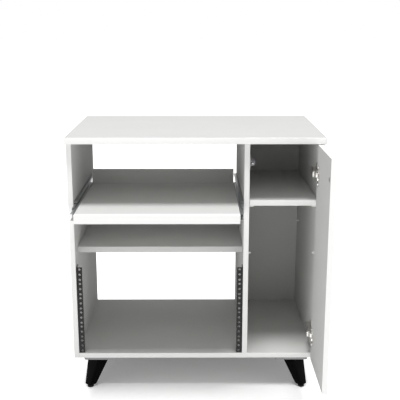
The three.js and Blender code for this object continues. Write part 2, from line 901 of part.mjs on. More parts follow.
// A square of the given diagonal with its corners cut, as a ring of points at the height z.
function legRing(diagonal, [x, y], z) {
  const reach = diagonal / 2;
  const near = reach - legCornerBreak;
  return [[1, 0], [0, 1], [-1, 0], [0, -1]].flatMap(([a, b]) => [
    [x + a * near + b * legCornerBreak, y + b * near - a * legCornerBreak, z],
    [x + a * near - b * legCornerBreak, y + b * near + a * legCornerBreak, z],
  ]);
}

// The solid between two rings of as many points, the lower one first.
function loft(lower, upper) {
  const count = lower.length;
  const faces = [];
  for (let index = 0; index < count; index += 1) {
    const next = (index + 1) % count;
    faces.push(index, next, count + next, index, count + next, count + index);
    if (index > 1) {
      faces.push(0, index, index - 1, count, count + index - 1, count + index);
    }
  }
  const geometry = new THREE.BufferGeometry();
  geometry.setAttribute("position", new THREE.Float32BufferAttribute([...lower, ...upper].flat(), 3));
  geometry.setIndex(faces);
  return toSolid(geometry);
}

const legPlaces = ["front", "rear"].flatMap((row) => ["left", "right"].map((side) => ({ row, side })));
function legPlace({ row, side }, sideInset, frontInset) {
  const x = side === "left" ? sideInset - halfWidth : halfWidth - sideInset;
  const y = row === "front" ? frontInset : carcassDepth - frontInset - legRearInset;
  return [x, y];
}
const plateCentre = (place) =>
  legPlace(place, legPlateSideInset + legPlateWidth / 2, legPlateFrontInset + legPlateWidth / 2);
const legScrewPlaces = legPlaces.map((place) => {
  const [x, y] = plateCentre(place);
  const [dx, dy] = [place.side === "left" ? 1 : -1, place.row === "front" ? 1 : -1];
  return [
    [x + (dx * legScrewSpacing) / 2, y + (dy * legScrewSpacing) / 2],
    [x - (dx * legScrewSpacing) / 2, y + (dy * legScrewSpacing) / 2],
    [x + (dx * legScrewSpacing) / 2, y - (dy * legScrewSpacing) / 2],
  ];
});

legPlaces.forEach((place, index) => {
  const name = `${place.row}_${place.side}`;
  const [plateX, plateY] = plateCentre(place);
  const half = legPlateWidth / 2;
  const plate = board(
    [plateX - half, plateX + half],
    [plateY - half, plateY + half],
    [legTop + joint, -joint],
  );
  const screws = legScrewPlaces[index].map(([x, y]) =>
    screw(alongZ, [x, y, legTop + joint], legScrewLength));
  addPiece(cabinet, `leg_plate_${name}`, "greyPlate", joined(plate, ...screws));
  const top = legPlace(place, legTopSideInset, legTopFrontInset);
  const foot = legPlace(place, legFootSideInset, legFootFrontInset);
  addPiece(
    cabinet,
    `leg_${name}`,
    "blackPlastic",
    loft(legRing(legFootDiagonal, foot, legFoot + joint), legRing(legTopDiagonal, top, legTop)),
  );
  addPiece(
    cabinet,
    `glide_${name}`,
    "blackPlastic",
    rod(glideRadius, glideHeight, alongZ, [...foot, -legHeight], glideSides),
  );
});

// Carcass boards
const railPilots = ({ panel, towards }) =>
  railScrewHeights.map((z) =>
    pilot(outwardsFrom(towards), [panel, railScrewDepth, z]));
const slidePilots = ({ panel, towards }) =>
  slideScrewPlaces.map((y) =>
    pilot(outwardsFrom(towards), [panel, y, slideCentreHeight]));
const panelTop = carcassHeight - joint;
const cupboardBackThickness = 5;
const rearRailHeight = 70;

addPiece(
  cabinet,
  "left_side_panel",
  "melamine",
  cut(
    board([-halfWidth, leftInner], [0, carcassDepth], [0, panelTop]),
    ...railPilots(slideSides[0]),
    ...slidePilots(slideSides[0]),
  ),
);
addPiece(
  cabinet,
  "divider_panel",
  "melamine",
  cut(
    board([dividerLeft, dividerRight], [0, carcassDepth], [floorTop + joint, panelTop]),
    ...railPilots(slideSides[1]),
    ...slidePilots(slideSides[1]),
    ...pinHoles(pinSides[0]),
    ...latchScrewDepths.map((y) => pilot(reversed(alongX), [dividerRight, y, latchScrewHeight])),
  ),
);
addPiece(
  cabinet,
  "right_side_panel",
  "melamine",
  cut(
    board([rightInner, halfWidth], [0, carcassDepth], [0, panelTop]),
    ...pinHoles(pinSides[1]),
    ...hingePilots,
  ),
);
addPiece(
  cabinet,
  "bottom_panel",
  "melamine",
  cut(
    board([leftInner + joint, rightInner - joint], [0, carcassDepth], [0, floorTop]),
    ...legScrewPlaces.flat().map(([x, y]) => pilot(alongZ, [x, y, 0], legScrewLength - legPlateThickness)),
  ),
);
addPiece(
  cabinet,
  "top_board",
  "melamine",
  board(
    [-halfWidth - topSideOverhang, halfWidth + topSideOverhang],
    [-topFrontOverhang, carcassDepth + topRearOverhang],
    [carcassHeight, carcassHeight + topThickness],
  ),
);
addPiece(
  cabinet,
  "device_shelf",
  "melamine",
  board(
    [leftInner + joint, dividerLeft - joint],
    [deviceShelfSetback, carcassDepth],
    [deviceShelfHeight - deviceShelfThickness, deviceShelfHeight],
  ),
);
const shelfClearance = 1;
addPiece(
  cabinet,
  "cupboard_shelf",
  "melamine",
  board(
    [dividerRight + shelfClearance, rightInner - shelfClearance],
    [shelfClearance, cupboardBack - shelfClearance],
    [shelfUnderside, cupboardShelfHeight],
  ),
);
addPiece(
  cabinet,
  "cupboard_back",
  "melamine",
  board(
    [dividerRight + joint, rightInner - joint],
    [cupboardBack, cupboardBack + cupboardBackThickness],
    [floorTop + joint, panelTop],
  ),
);
addPiece(
  cabinet,
  "rear_top_rail",
  "melamine",
  board(
    [leftInner + joint, dividerLeft - joint],
    [carcassDepth - boardThickness, carcassDepth],
    [panelTop - rearRailHeight, panelTop],
  ),
);

// The whole stand, with its origin on the floor in the middle of its length and depth
const doorReach = axisY - (axisX - doorFreeEdge);
const middleDepth = (doorReach + carcassDepth + topRearOverhang) / 2;
cabinet.position.set(0, -middleDepth, legHeight);
const stand = new THREE.Group();
stand.add(cabinet);

export default stand;
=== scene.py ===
# Studio rack stand: a white melamine cabinet for a small studio, with a keyboard tray on ball bearing
# slides, a device shelf over a 19 inch rack bay, and a cupboard whose door stands a quarter turn open.
# Metres, +X right, +Y into the cabinet, +Z up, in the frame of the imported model.
import math

import bmesh
import bpy
import numpy as np
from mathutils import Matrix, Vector


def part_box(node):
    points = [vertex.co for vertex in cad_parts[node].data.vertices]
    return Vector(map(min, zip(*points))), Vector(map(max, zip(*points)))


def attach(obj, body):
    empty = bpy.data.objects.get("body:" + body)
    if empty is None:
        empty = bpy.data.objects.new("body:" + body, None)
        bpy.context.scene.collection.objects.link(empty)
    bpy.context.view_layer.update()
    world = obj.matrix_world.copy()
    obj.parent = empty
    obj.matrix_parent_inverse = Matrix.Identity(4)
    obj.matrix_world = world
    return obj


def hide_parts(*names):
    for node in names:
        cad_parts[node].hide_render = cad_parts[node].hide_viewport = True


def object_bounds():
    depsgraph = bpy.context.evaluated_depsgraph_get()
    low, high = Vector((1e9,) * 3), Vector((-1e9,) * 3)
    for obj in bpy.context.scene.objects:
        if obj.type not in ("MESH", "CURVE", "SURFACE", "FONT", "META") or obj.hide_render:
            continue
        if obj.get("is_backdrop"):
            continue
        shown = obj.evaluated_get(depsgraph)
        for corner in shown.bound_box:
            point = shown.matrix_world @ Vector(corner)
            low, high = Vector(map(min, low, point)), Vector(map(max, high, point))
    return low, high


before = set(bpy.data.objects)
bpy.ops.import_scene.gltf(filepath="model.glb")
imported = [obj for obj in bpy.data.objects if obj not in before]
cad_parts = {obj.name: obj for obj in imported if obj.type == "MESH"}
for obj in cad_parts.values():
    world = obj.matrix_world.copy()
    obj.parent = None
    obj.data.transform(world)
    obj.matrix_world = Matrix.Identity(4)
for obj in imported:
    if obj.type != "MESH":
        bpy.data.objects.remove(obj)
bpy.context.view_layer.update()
MM = 0.001

# Camera and room.
# The camera stands where the photograph's edges put it: 2.1 m in front, 0.33 m above the top, and
# tilted down by 13.8 degrees. The room is white, with one large soft light above the front.
camera_place = (0.004083, -2.19835, 1.094985)
camera_tilt = 76.1855
camera_turn = -0.2294
camera_lens = 68.393
sensor_width = 36.0


def srgb(code, alpha=1.0):
    """The linear colour of an sRGB hex value: each channel c of 0 to 1 becomes c / 12.92 up to 0.04045,
    and ((c + 0.055) / 1.055) to the power of 2.4 above it."""
    channels = np.array([(code >> 16) & 255, (code >> 8) & 255, code & 255]) / 255.0
    linear = np.where(channels <= 0.04045, channels / 12.92, ((channels + 0.055) / 1.055) ** 2.4)
    return (*linear.tolist(), alpha)


def add_node(material, kind, sockets=None, **settings):
    """Adds a node of a kind, sets its properties, and gives each named socket a value or a link, which
    is an output or a node whose first output is meant."""
    node = material.node_tree.nodes.new("ShaderNode" + kind)
    for key, value in settings.items():
        setattr(node, key, value)
    for key, value in (sockets or {}).items():
        value = value.outputs[0] if isinstance(value, bpy.types.Node) else value
        if isinstance(value, bpy.types.NodeSocket):
            material.node_tree.links.new(value, node.inputs[key])
        else:
            node.inputs[key].default_value = value
    return node


def empty_material(name):
    """A material with no nodes but its output, and the output's surface socket."""
    material = bpy.data.materials.new(name)
    material.use_nodes = True
    material.node_tree.nodes.clear()
    return material, add_node(material, "OutputMaterial")


camera_data = bpy.data.cameras.new("camera")
camera_data.lens = camera_lens
camera_data.sensor_width = sensor_width
camera = bpy.data.objects.new("camera", camera_data)
camera.location = camera_place
camera.rotation_euler = (math.radians(camera_tilt), 0, math.radians(camera_turn))
bpy.context.scene.collection.objects.link(camera)
bpy.context.scene.camera = camera
bpy.context.scene.view_settings.view_transform = "Standard"

# The room shows white to the camera and in reflections. It lights the object softly from the front,
# the sides and above, and leaves the wall behind it dark, so that little light comes in from the back.
room_fill = 0.55
room_low_share = 0.45
room_high_at = 0.8
room_dark_at = -0.3
room_light_at = 0.5
world = bpy.data.worlds.new("white room")
world.use_nodes = True
world.node_tree.nodes.clear()
room_path = add_node(world, "LightPath")
room_seen = add_node(world, "Math", {0: room_path.outputs["Is Camera Ray"],
                                     1: room_path.outputs["Is Glossy Ray"]}, operation="MAXIMUM")
room_clear = add_node(world, "Math", {0: room_seen, 1: room_path.outputs["Is Transmission Ray"]},
                      operation="MAXIMUM")
room_place = add_node(world, "TexCoord")
room_way = add_node(world, "SeparateXYZ", {0: room_place.outputs["Generated"]})
room_front = add_node(world, "Math", {0: room_way.outputs["Z"], 1: room_way.outputs["Y"]},
                      operation="SUBTRACT")
room_rise = add_node(world, "MapRange", {"Value": room_way.outputs["Z"], "From Min": 0.0,
                                         "From Max": room_high_at, "To Min": room_low_share * room_fill,
                                         "To Max": room_fill})
room_light = add_node(world, "MapRange", {"Value": room_front, "From Min": room_dark_at,
                                          "From Max": room_light_at, "To Max": room_rise})
room_level = add_node(world, "MapRange", {"Value": room_clear, "To Min": room_light, "To Max": 1.0})
room = add_node(world, "Background", {"Color": (1, 1, 1, 1), "Strength": room_level})
add_node(world, "OutputWorld", {"Surface": room})
bpy.context.scene.world = world

# The floor is white to the camera away from the cabinet and keeps the shadow near it. It glows a little
# there, and throws back less light than it shows.
floor_glow = 0.145
floor_bounce = 1.0
floor_middle_at = (0, -0.1, 0)
floor_half_size = (0.30, 0.32, 0)
floor_fade = 0.07
floor_bounce_start = -0.1
floor_bounce_full = -0.5
floor_reach = 30
floor_material, floor_out = empty_material("painted floor")
floor_path = add_node(floor_material, "LightPath")
floor_seen = add_node(floor_material, "Math", {0: floor_path.outputs["Is Camera Ray"],
                                               1: floor_path.outputs["Is Glossy Ray"]},
                      operation="MAXIMUM")
floor_colour = add_node(floor_material, "Mix", {"Factor": floor_seen,
                                                "A": srgb(0xC0C0C0), "B": srgb(0xF4F4F4)},
                        data_type="RGBA")
floor_diffuse = add_node(floor_material, "BsdfDiffuse", {"Color": floor_colour.outputs["Result"]})
floor_place = add_node(floor_material, "TexCoord")
floor_middle = add_node(floor_material, "Mapping", {"Vector": floor_place.outputs["Object"],
                                                    "Location": floor_middle_at})
floor_sides = add_node(floor_material, "VectorMath", {0: floor_middle}, operation="ABSOLUTE")
floor_beyond = add_node(floor_material, "VectorMath", {0: floor_sides, 1: floor_half_size},
                        operation="SUBTRACT")
floor_parts = add_node(floor_material, "SeparateXYZ", {0: floor_beyond})
floor_out_by = add_node(floor_material, "Math", {0: floor_parts, 1: floor_parts.outputs["Y"]},
                        operation="MAXIMUM")
floor_far = add_node(floor_material, "MapRange", {"Value": floor_out_by, "From Min": 0.0,
                                                  "From Max": floor_fade}, interpolation_type="SMOOTHSTEP")
floor_shown = add_node(floor_material, "MapRange", {"Value": floor_far, "To Min": floor_glow,
                                                    "To Max": 1.0})
floor_split = add_node(floor_material, "SeparateXYZ", {0: floor_place.outputs["Object"]})
floor_front = add_node(floor_material, "MapRange", {"Value": floor_split.outputs["Y"],
                                                    "From Min": floor_bounce_start,
                                                    "From Max": floor_bounce_full,
                                                    "To Max": floor_bounce})
floor_level = add_node(floor_material, "Mix", {"Factor": floor_seen, "A": floor_front,
                                               "B": floor_shown})
floor_lift = add_node(floor_material, "Emission", {"Color": (1, 1, 1, 1), "Strength": floor_level})
floor_sum = add_node(floor_material, "AddShader", {0: floor_diffuse, 1: floor_lift})
floor_material.node_tree.links.new(floor_sum.outputs[0], floor_out.inputs["Surface"])
floor_mesh = bpy.data.meshes.new("floor")
floor_corners = [(x * floor_reach, y * floor_reach, 0) for x, y in ((-1, -1), (1, -1), (1, 1), (-1, 1))]
floor_mesh.from_pydata(floor_corners, [], [(0, 1, 2, 3)])
floor_mesh.materials.append(floor_material)
floor = bpy.data.objects.new("floor", floor_mesh)
bpy.context.scene.collection.objects.link(floor)
floor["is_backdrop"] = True

# One large soft lamp hangs in front of the cabinet, high above it.
lamp_place = (0.0, -1.0, 5.0)
lamp_aim = (0, 0, 0.4)
lamp_data = bpy.data.lights.new("light_above", "AREA")
lamp_data.shape = "RECTANGLE"
lamp_data.size = 1.6
lamp_data.size_y = 1.2
lamp_data.energy = 152
lamp = bpy.data.objects.new("light_above", lamp_data)
lamp.location = lamp_place
lamp.rotation_euler = (Vector(lamp_aim) - Vector(lamp_place)).to_track_quat("-Z", "Y").to_euler()
bpy.context.scene.collection.objects.link(lamp)

# Carcass boards.
# Each is white melamine on particle board, 15 mm thick and 18 mm for the top, sawn to size and closed
# with a 1 mm plastic edging whose long edges are rounded. They are doweled and cammed together.
edging_radius = 0.9 * MM
board_corner_radius = 0.8 * MM
top_edging_radius = 1.4 * MM
top_corner_radius = 2 * MM


def rounded_outline(width, depth, radius, steps=5):
    """A closed outline of a rectangle with round corners, round the origin, as points of two values.
    Each corner is a quarter circle: its centre lies one radius inside both sides, and the point at an
    angle is that centre plus radius times (cosine, sine). With radius half of both sides it is a circle."""
    angle = (np.arange(4 * steps) + 0.5) * (math.pi / 2 / steps)
    side = np.arange(4 * steps) // steps
    centre_a = np.array([1, -1, -1, 1])[side] * (width / 2 - radius)
    centre_b = np.array([1, 1, -1, -1])[side] * (depth / 2 - radius)
    return np.stack([centre_a + radius * np.cos(angle), centre_b + radius * np.sin(angle)], 1)


def rounded_edge(radius, steps=4):
    """A rounded edge from its face to its side in steps of a quarter turn: how far it draws in, radius
    times (1 - sine), and how far it rises from the face, radius times (1 - cosine)."""
    turn = np.linspace(0, math.pi / 2, steps + 1)
    return radius * (1 - np.sin(turn)), radius * (1 - np.cos(turn))


def slab_rings(width, depth, thickness, corner, edge):
    """The closed outlines of a flat slab with rounded edges, stacked along its thickness. One more
    outline on each face, a little further in, keeps the face's shading flat."""
    draw, rise = rounded_edge(edge)
    inset, rise = np.concatenate([[1.15 * edge], draw]), np.concatenate([[0], rise])
    inset, rise = np.concatenate([inset, inset[::-1]]), np.concatenate([rise, thickness - rise[::-1]])
    rings = []
    for drawn, height in zip(inset, rise):
        rounding = max(corner - drawn, corner * 0.3)
        ring = rounded_outline(width - 2 * drawn, depth - 2 * drawn, rounding)
        rings.append(np.column_stack([ring, np.full(len(ring), height)]))
    return np.array(rings)


def rings_volume(rings):
    """The stack's volume, positive where its faces point outwards: the mean area vector of each two
    neighbouring rings, dotted with the way between their middles."""
    middle = rings.mean(1)
    spoke = rings - middle[:, None]
    area = np.cross(spoke, np.roll(spoke, -1, axis=1)).sum(1) / 2
    return float(((area[1:] + area[:-1]) / 2 * np.diff(middle, axis=0)).sum())


def ring_quads(rows, count, around):
    """Quads from each of the first rows of rings to the next ring; after the last ring comes the first."""
    ring_at = np.arange(rows)[:, None] * around
    next_at = (np.arange(rows)[:, None] + 1) % count * around
    step = np.arange(around)[None, :]
    after = (step + 1) % around
    return np.stack([ring_at + step, ring_at + after, next_at + after, next_at + step],
                    -1).reshape(-1, 4).tolist()


def closed_piece(name, rings, faces, slots, materials, volume, smooth):
    """An object of a closed mesh, with a material slot for each face and its faces turned outwards."""
    mesh = bpy.data.meshes.new(name)
    mesh.from_pydata(rings.reshape(-1, 3).tolist(), [], faces)
    for material in materials:
        mesh.materials.append(material)
    mesh.polygons.foreach_set("material_index", slots)
    mesh.update()
    if volume < 0:
        mesh.flip_normals()
    mesh.shade_smooth()
    mesh.set_sharp_from_angle(angle=math.radians(smooth))
    piece = bpy.data.objects.new(name, mesh)
    bpy.context.scene.collection.objects.link(piece)
    return piece


def shell(name, rings, materials, sides=0, smooth=35):
    """A closed mesh through a stack of rings of as many points, with a flat face over the first and the
    last ring in the first material. sides chooses the material of the faces between the rings."""
    count, around = rings.shape[:2]
    quads = ring_quads(count - 1, count, around)
    ends = [list(range(around))[::-1], list(range((count - 1) * around, count * around))]
    return closed_piece(name, rings, quads + ends, [sides] * len(quads) + [0, 0], materials,
                        rings_volume(rings), smooth)


def mounted(piece, body, slot, *nodes):
    """Makes a piece ride on a body and stand for its CAD nodes. The slot is not used."""
    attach(piece, body)
    if nodes:
        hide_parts(*nodes)
    return piece


def add_piece(name, rings, material, body, slot, *nodes):
    """A closed piece of one material, mounted."""
    return mounted(shell(name, rings, [material]), body, slot, *nodes)


def node_box(node):
    """The lowest and the highest corner of a CAD node's box, and its middle."""
    low, high = (np.array(v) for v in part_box(node))
    return low, high, (low + high) / 2


def board(node, body, materials, slot="melamine", corner=board_corner_radius, edge=edging_radius):
    """A board in the place of a CAD board: a slab as long, wide and thick as the node's box. Its rings
    are stacked along Z, and their axes are rolled round to stack them along the box's thin side."""
    low, high, middle = node_box(node)
    size = high - low
    thin = int(np.argmin(size))
    rings = slab_rings(size[(thin + 1) % 3], size[(thin + 2) % 3], size[thin], corner, edge)
    rings[..., 2] -= size[thin] / 2
    piece = shell(node + "_board", np.roll(rings, thin + 1, -1) + middle, materials, 1)
    return mounted(piece, body, slot, node)


def uneven_material(name, colours, cloud, sheen, grain, relief, look, streak=(1, 1, 1)):
    """A slightly uneven surface. A cloud of noise blends its two colours and changes its roughness, and
    a fine noise raises its relief. Where a streak draws the fine noise out, the roughness follows that.
    Each noise is a scale, a detail and a roughness, and the sheen a roughness, its fall and its rise."""
    material, out = empty_material(name)
    place = add_node(material, "TexCoord").outputs["Object"]
    drawn = add_node(material, "Mapping", {"Vector": place, "Scale": streak})
    clouds, grains = [add_node(material, "TexNoise", {"Vector": vector, "Scale": noise[0],
                                                      "Detail": noise[1], "Roughness": noise[2]})
                      for vector, noise in ((place, cloud), (drawn, grain))]
    colour = add_node(material, "Mix", {"Factor": clouds, "A": srgb(colours[0]), "B": srgb(colours[1])},
                      data_type="RGBA")
    rough = add_node(material, "MapRange", {"Value": clouds if streak == (1, 1, 1) else grains,
                                            "From Min": 0.3, "From Max": 0.7,
                                            "To Min": sheen[0] - sheen[1], "To Max": sheen[0] + sheen[2]})
    bump = add_node(material, "Bump", {"Height": grains, "Strength": relief[0], "Distance": relief[1]})
    surface = add_node(material, "BsdfPrincipled", {"Base Color": colour.outputs["Result"],
                                                    "Roughness": rough, "Normal": bump, **look})
    material.node_tree.links.new(surface.outputs[0], out.inputs["Surface"])
    return material


def melamine_material(name, white, shade, roughness, pearl):
    """Melamine: paper soaked in resin, pressed on the board between textured plates. The white is even
    and matte, with a pearl texture of about half a millimetre, drawn here three times as coarse so that
    it can be seen. It hardly shines, so that the inner walls stay as dark as in the photograph."""
    return uneven_material(name, (white, shade), (9.0, 3.0, 0.6), (roughness, 0.04, 0.05),
                           (1 / pearl, 2.0, 0.5), (0.12, 0.00015),
                           {"IOR": 1.5, "Specular IOR Level": 0.06})


# The faces' grey is partly painted shade: it is darker than the edging so that the inner walls stay dark.
melamine = melamine_material("pressed melamine", 0xDADAD8, 0xD5D5D3, 0.8, 1.6 * MM)
# The edging is extruded ABS, glued on and milled flush. It is a touch glossier than the faces, and it is
# painted far whiter than their grey. That is a painted highlight, so the front edges read as lit.
edging = melamine_material("extruded ABS edging", 0xFCFCFA, 0xF8F8F6, 0.45, 2.4 * MM)

for node in ("left_side_panel", "divider_panel", "right_side_panel", "bottom_panel", "cupboard_shelf",
             "cupboard_back", "rear_top_rail"):
    board(node, "carcass", [melamine, edging])
# The device shelf's edges take the faces' grey instead of the whiter edging. This is painted shade for its
# front edge, which lies in the tray's shadow.
board("device_shelf", "carcass", [melamine, melamine])
board("top_board", "carcass", [melamine, edging], corner=top_corner_radius, edge=top_edging_radius)

# Legs.
# Each is one moulded black plastic leg of square section, turned corner to the front. It tapers from
# 66 mm to 34 mm across its corners and splays outwards, and is screwed up against a square plate.
leg_top_reach = 32.6 * MM
leg_foot_reach = 16.6 * MM
leg_corner_radius = 2.4 * MM
leg_edge_radius = 1.0 * MM
leg_rows = 24


def moulded_material(name, base, lift, roughness, grit, depth, gloss=0.3):
    """A moulded plastic whose tool was spark eroded: fine grit in the bump, and a faint uneven sheen."""
    return uneven_material(name, (base, lift), (24.0, 4.0, 0.55), (roughness, 0.06, 0.07),
                           (1 / grit, 2.0, 0.6), (0.25, depth), {"IOR": 1.49, "Specular IOR Level": gloss})


black_plastic = moulded_material("moulded polypropylene", 0x050505, 0x080809, 0.6, 1.1 * MM, 0.0002, 0.03)


def leg_rings(foot, top):
    """The leg's sections from foot to top. Each is a square with round corners, turned by 45 degrees.
    Its middle and half diagonal run straight from the foot's to the top's, and both ends' edges are
    rounded."""
    foot, top = np.array(foot), np.array(top)
    height = top[2] - foot[2]
    draw, rise = rounded_edge(leg_edge_radius)
    along = np.concatenate([rise, np.linspace(leg_edge_radius, height - leg_edge_radius, leg_rows)[1:-1],
                            height - rise[::-1]])
    inset = np.concatenate([draw, np.zeros(leg_rows - 2), draw[::-1]])
    share = along / height
    reach = leg_foot_reach + (leg_top_reach - leg_foot_reach) * share - inset
    rings = []
    for part, half, up in zip(share, reach, along):
        side = (half + leg_corner_radius * (math.sqrt(2) - 1)) * math.sqrt(2)
        flat = rounded_outline(side, side, leg_corner_radius, 6)
        turned = np.stack([flat[:, 0] - flat[:, 1], flat[:, 0] + flat[:, 1]], 1) * math.sqrt(0.5)
        middle = foot[:2] + (top[:2] - foot[:2]) * part
        rings.append(np.column_stack([turned + middle, np.full(len(flat), foot[2] + up)]))
    return np.array(rings)


leg_corners = {"front_left": (-1, -1), "front_right": (1, -1), "rear_left": (-1, 1), "rear_right": (1, 1)}
for corner, (side_x, side_y) in leg_corners.items():
    low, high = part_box("leg_" + corner)
    outer = (high.x if side_x > 0 else low.x, high.y if side_y > 0 else low.y)
    inner = (low.x if side_x > 0 else high.x, low.y if side_y > 0 else high.y)
    foot = (outer[0] - side_x * leg_foot_reach, outer[1] - side_y * leg_foot_reach, low.z)
    top = (inner[0] + side_x * leg_top_reach, inner[1] + side_y * leg_top_reach, high.z)
    add_piece("moulded_leg_" + corner, leg_rings(foot, top), black_plastic, "carcass", "black_plastic",
              "leg_" + corner)

# Glides.
# A round black foot of hard rubber, 19 mm wide, is pressed into the end of each leg. Its rim is rounded
# so that it slides, and a groove below the leg hides the joint.
glide_radius = 9.5 * MM
glide_height = 8 * MM
black_rubber = moulded_material("moulded rubber", 0x101010, 0x1A1A1A, 0.7, 0.9 * MM, 0.0003)


def turned_rings(profile, around=40):
    """A turned shape: each [radius, height] of the profile becomes a circle of that radius round Z."""
    angle = (np.arange(around) + 0.5) * (2 * math.pi / around)
    radius, height = np.array(profile).T
    return np.stack([radius[:, None] * np.cos(angle), radius[:, None] * np.sin(angle),
                     np.repeat(height[:, None], around, 1)], -1)


glide_rim = 0.6 * MM
glide_groove = 1.2 * MM
glide_groove_depth = 0.5 * MM
glide_groove_slope = 0.3 * MM
glide_gap = 0.1 * MM
glide_neck = glide_radius - glide_groove_depth
rim_draw, rim_rise = rounded_edge(glide_rim)
glide_profile = [*zip(glide_radius - rim_draw, rim_rise), [glide_radius, glide_height - glide_groove],
                 [glide_neck, glide_height - glide_groove + glide_groove_slope],
                 [glide_neck, glide_height - glide_gap]]
for corner in leg_corners:
    low, high, middle = node_box("glide_" + corner)
    rings = turned_rings(glide_profile) + np.array([middle[0], middle[1], low[2]])
    add_piece("round_glide_" + corner, rings, black_rubber, "carcass", "black_plastic",
              "glide_" + corner)

# Leg plates.
# A square pressed plate between each leg and the cabinet's floor, powder coated grey, with a pan head
# screw in each of its three free corners.
plate_corner_radius = 6 * MM
plate_edge_radius = 1.2 * MM
plate_screw_spacing = 80 * MM
screw_radius = 3.6 * MM
screw_height = 1.8 * MM
recess_reach = 2.1 * MM
recess_width = 0.55 * MM
recess_depth = 1.1 * MM
recess_side_slope = 0.25 * MM
recess_end_slope = 0.35 * MM
seat_gap = 0.2 * MM

grey_plate = moulded_material("grey powder coat", 0x9A9C9E, 0xA4A6A8, 0.5, 1.8 * MM, 0.0002)


def plated_material(name, base, shade, roughness, streak, grain):
    """A plated sheet metal. Rolling leaves faint streaks: noise whose coordinates are drawn out along
    one axis, so that each streak is as long as the factor says and as wide as the grain."""
    return uneven_material(name, (base, shade), (60.0, 3.0, 0.5), (roughness, 0.04, 0.06),
                           (1 / grain, 4.0, 0.6), (0.08, 0.0001), {"Metallic": 1.0}, streak)


# Zinc plate is grey and cloudy. Nickel is warmer, whiter and smoother.
zinc_plate = plated_material("zinc plated steel", 0xAAACAD, 0x9A9C9D, 0.38, (1, 0.03, 1), 0.8 * MM)
nickel_plate = plated_material("nickel plated steel", 0xDCDAD7, 0xCECCC8, 0.3, (1, 0.2, 1), 1.2 * MM)


def turned_to(rings, direction, place):
    """Turns rings so that their Z axis points along a direction, and moves them to a place."""
    turn = np.array(Vector((0, 0, 1)).rotation_difference(Vector(direction)).to_matrix())
    return rings @ turn.T + np.array(place)


def screw_rings(radius=screw_radius, height=screw_height, turn=0.0):
    """A pan head as rings from its seat to the middle of its crown. The crown's height falls off with
    the fourth power of the radius. The cross recess lowers it where the distance to either arm's axis
    is under half the recess's width and the radius is under its reach, with a soft edge on both."""
    around = 64
    angle = np.arange(around) * (2 * math.pi / around)
    outward = np.concatenate([[1.0, 1.0], np.linspace(0.99, 0.02, 22)]) * radius
    level = height * (0.3 + 0.7 * np.sqrt(np.clip(1 - (outward / radius) ** 4, 0, 1)))
    level[0] = 0
    r = np.repeat(outward[:, None], around, 1)
    x, y = r * np.cos(angle), r * np.sin(angle)
    arm = np.minimum(np.abs(x * math.cos(turn) + y * math.sin(turn)),
                     np.abs(y * math.cos(turn) - x * math.sin(turn)))
    size = radius / screw_radius
    cross = np.clip((recess_width * size - arm) / recess_side_slope + 0.5, 0, 1)
    cross *= np.clip((recess_reach * size - r) / recess_end_slope + 0.5, 0, 1)
    z = np.repeat(level[:, None], around, 1) - cross * recess_depth * size
    z[0] = 0
    return np.stack([x, y, z], -1)


def screw(name, body, slot, direction, place, material, radius=screw_radius, height=screw_height,
          nodes=()):
    """A pan head that bears at a place and faces along a direction. Its recess is turned by an angle that
    comes from its place, so that no two screws stand alike."""
    turn = 0.7 * sum(abs(v) for v in place) * 100 % 1.5
    piece = shell(name, turned_to(screw_rings(radius, height, turn), direction, place), [material],
                  smooth=30)
    return mounted(piece, body, slot, *nodes)


def screws(name, body, slot, direction, places, material, radius=screw_radius, height=screw_height):
    """Pan heads at several places, numbered from 1."""
    for index, place in enumerate(places):
        screw(f"{name}_{index + 1}", body, slot, direction, place, material, radius, height)


for corner, (side_x, side_y) in leg_corners.items():
    low, high, middle = node_box("leg_plate_" + corner)
    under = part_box("leg_" + corner)[1].z + seat_gap
    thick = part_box("bottom_panel")[0].z - seat_gap - under
    rings = slab_rings(high[0] - low[0], high[1] - low[1], thick, plate_corner_radius, plate_edge_radius)
    middle[2] = under
    add_piece("pressed_plate_" + corner, rings + middle, grey_plate, "carcass", "grey_plate",
              "leg_plate_" + corner)
    free_corners = [np.array([-side_x * x, -side_y * y, 0]) for x, y in ((1, 1), (-1, 1), (1, -1))]
    screws("plate_screw_" + corner, "carcass", "grey_plate", (0, 0, -1),
           [middle + way * plate_screw_spacing / 2 for way in free_corners], zinc_plate)

# Rack rails.
# Two angles of 2 mm steel, folded and punched with three holes to the rack unit, and powder coated
# black. They are screwed to the bay's walls.
rail_thickness = 2 * MM
rail_bend_radius = 2.5 * MM
rail_hole_radius = 3.5 * MM
rail_hole_inset = 9.95 * MM
rack_unit = 44.45 * MM
rack_hole_steps = (6.35 * MM, 22.225 * MM, 38.1 * MM)
rack_units = 6
rail_screw_stand = 2.6 * MM
drill_start = 2 * MM
sliver = 0.003 * MM
bay_left, bay_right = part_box("left_side_panel")[1].x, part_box("divider_panel")[0].x

powder_coat = moulded_material("black powder coat", 0x121314, 0x1B1C1D, 0.5, 1.6 * MM, 0.0003)


def folded_rings(face, depth, thickness, radius, height):
    """An angle section carried up a height. The section goes along the outside of the face flange,
    round the bend, along the other flange, and back along the inside, one thickness further in."""
    turn = np.linspace(0, math.pi / 2, 7)
    outer = np.stack([radius - radius * np.sin(turn), radius - radius * np.cos(turn)], 1)
    inner_radius = radius - thickness
    inner = np.stack([radius - inner_radius * np.sin(turn), radius - inner_radius * np.cos(turn)], 1)
    section = np.concatenate([[[face, 0]], outer, [[0, depth]], [[thickness, depth]], inner[::-1],
                              [[face, thickness]]])
    rings = [np.column_stack([section, np.full(len(section), z)]) for z in (0, height)]
    return np.array(rings)


def drill(radius, depth, direction, face, material, around):
    """A round cutter that goes into a face by its depth and starts a little before it."""
    rings = turned_rings([[radius, -drill_start], [radius, depth]], around)
    return shell("drill", turned_to(rings, direction, face), [material])


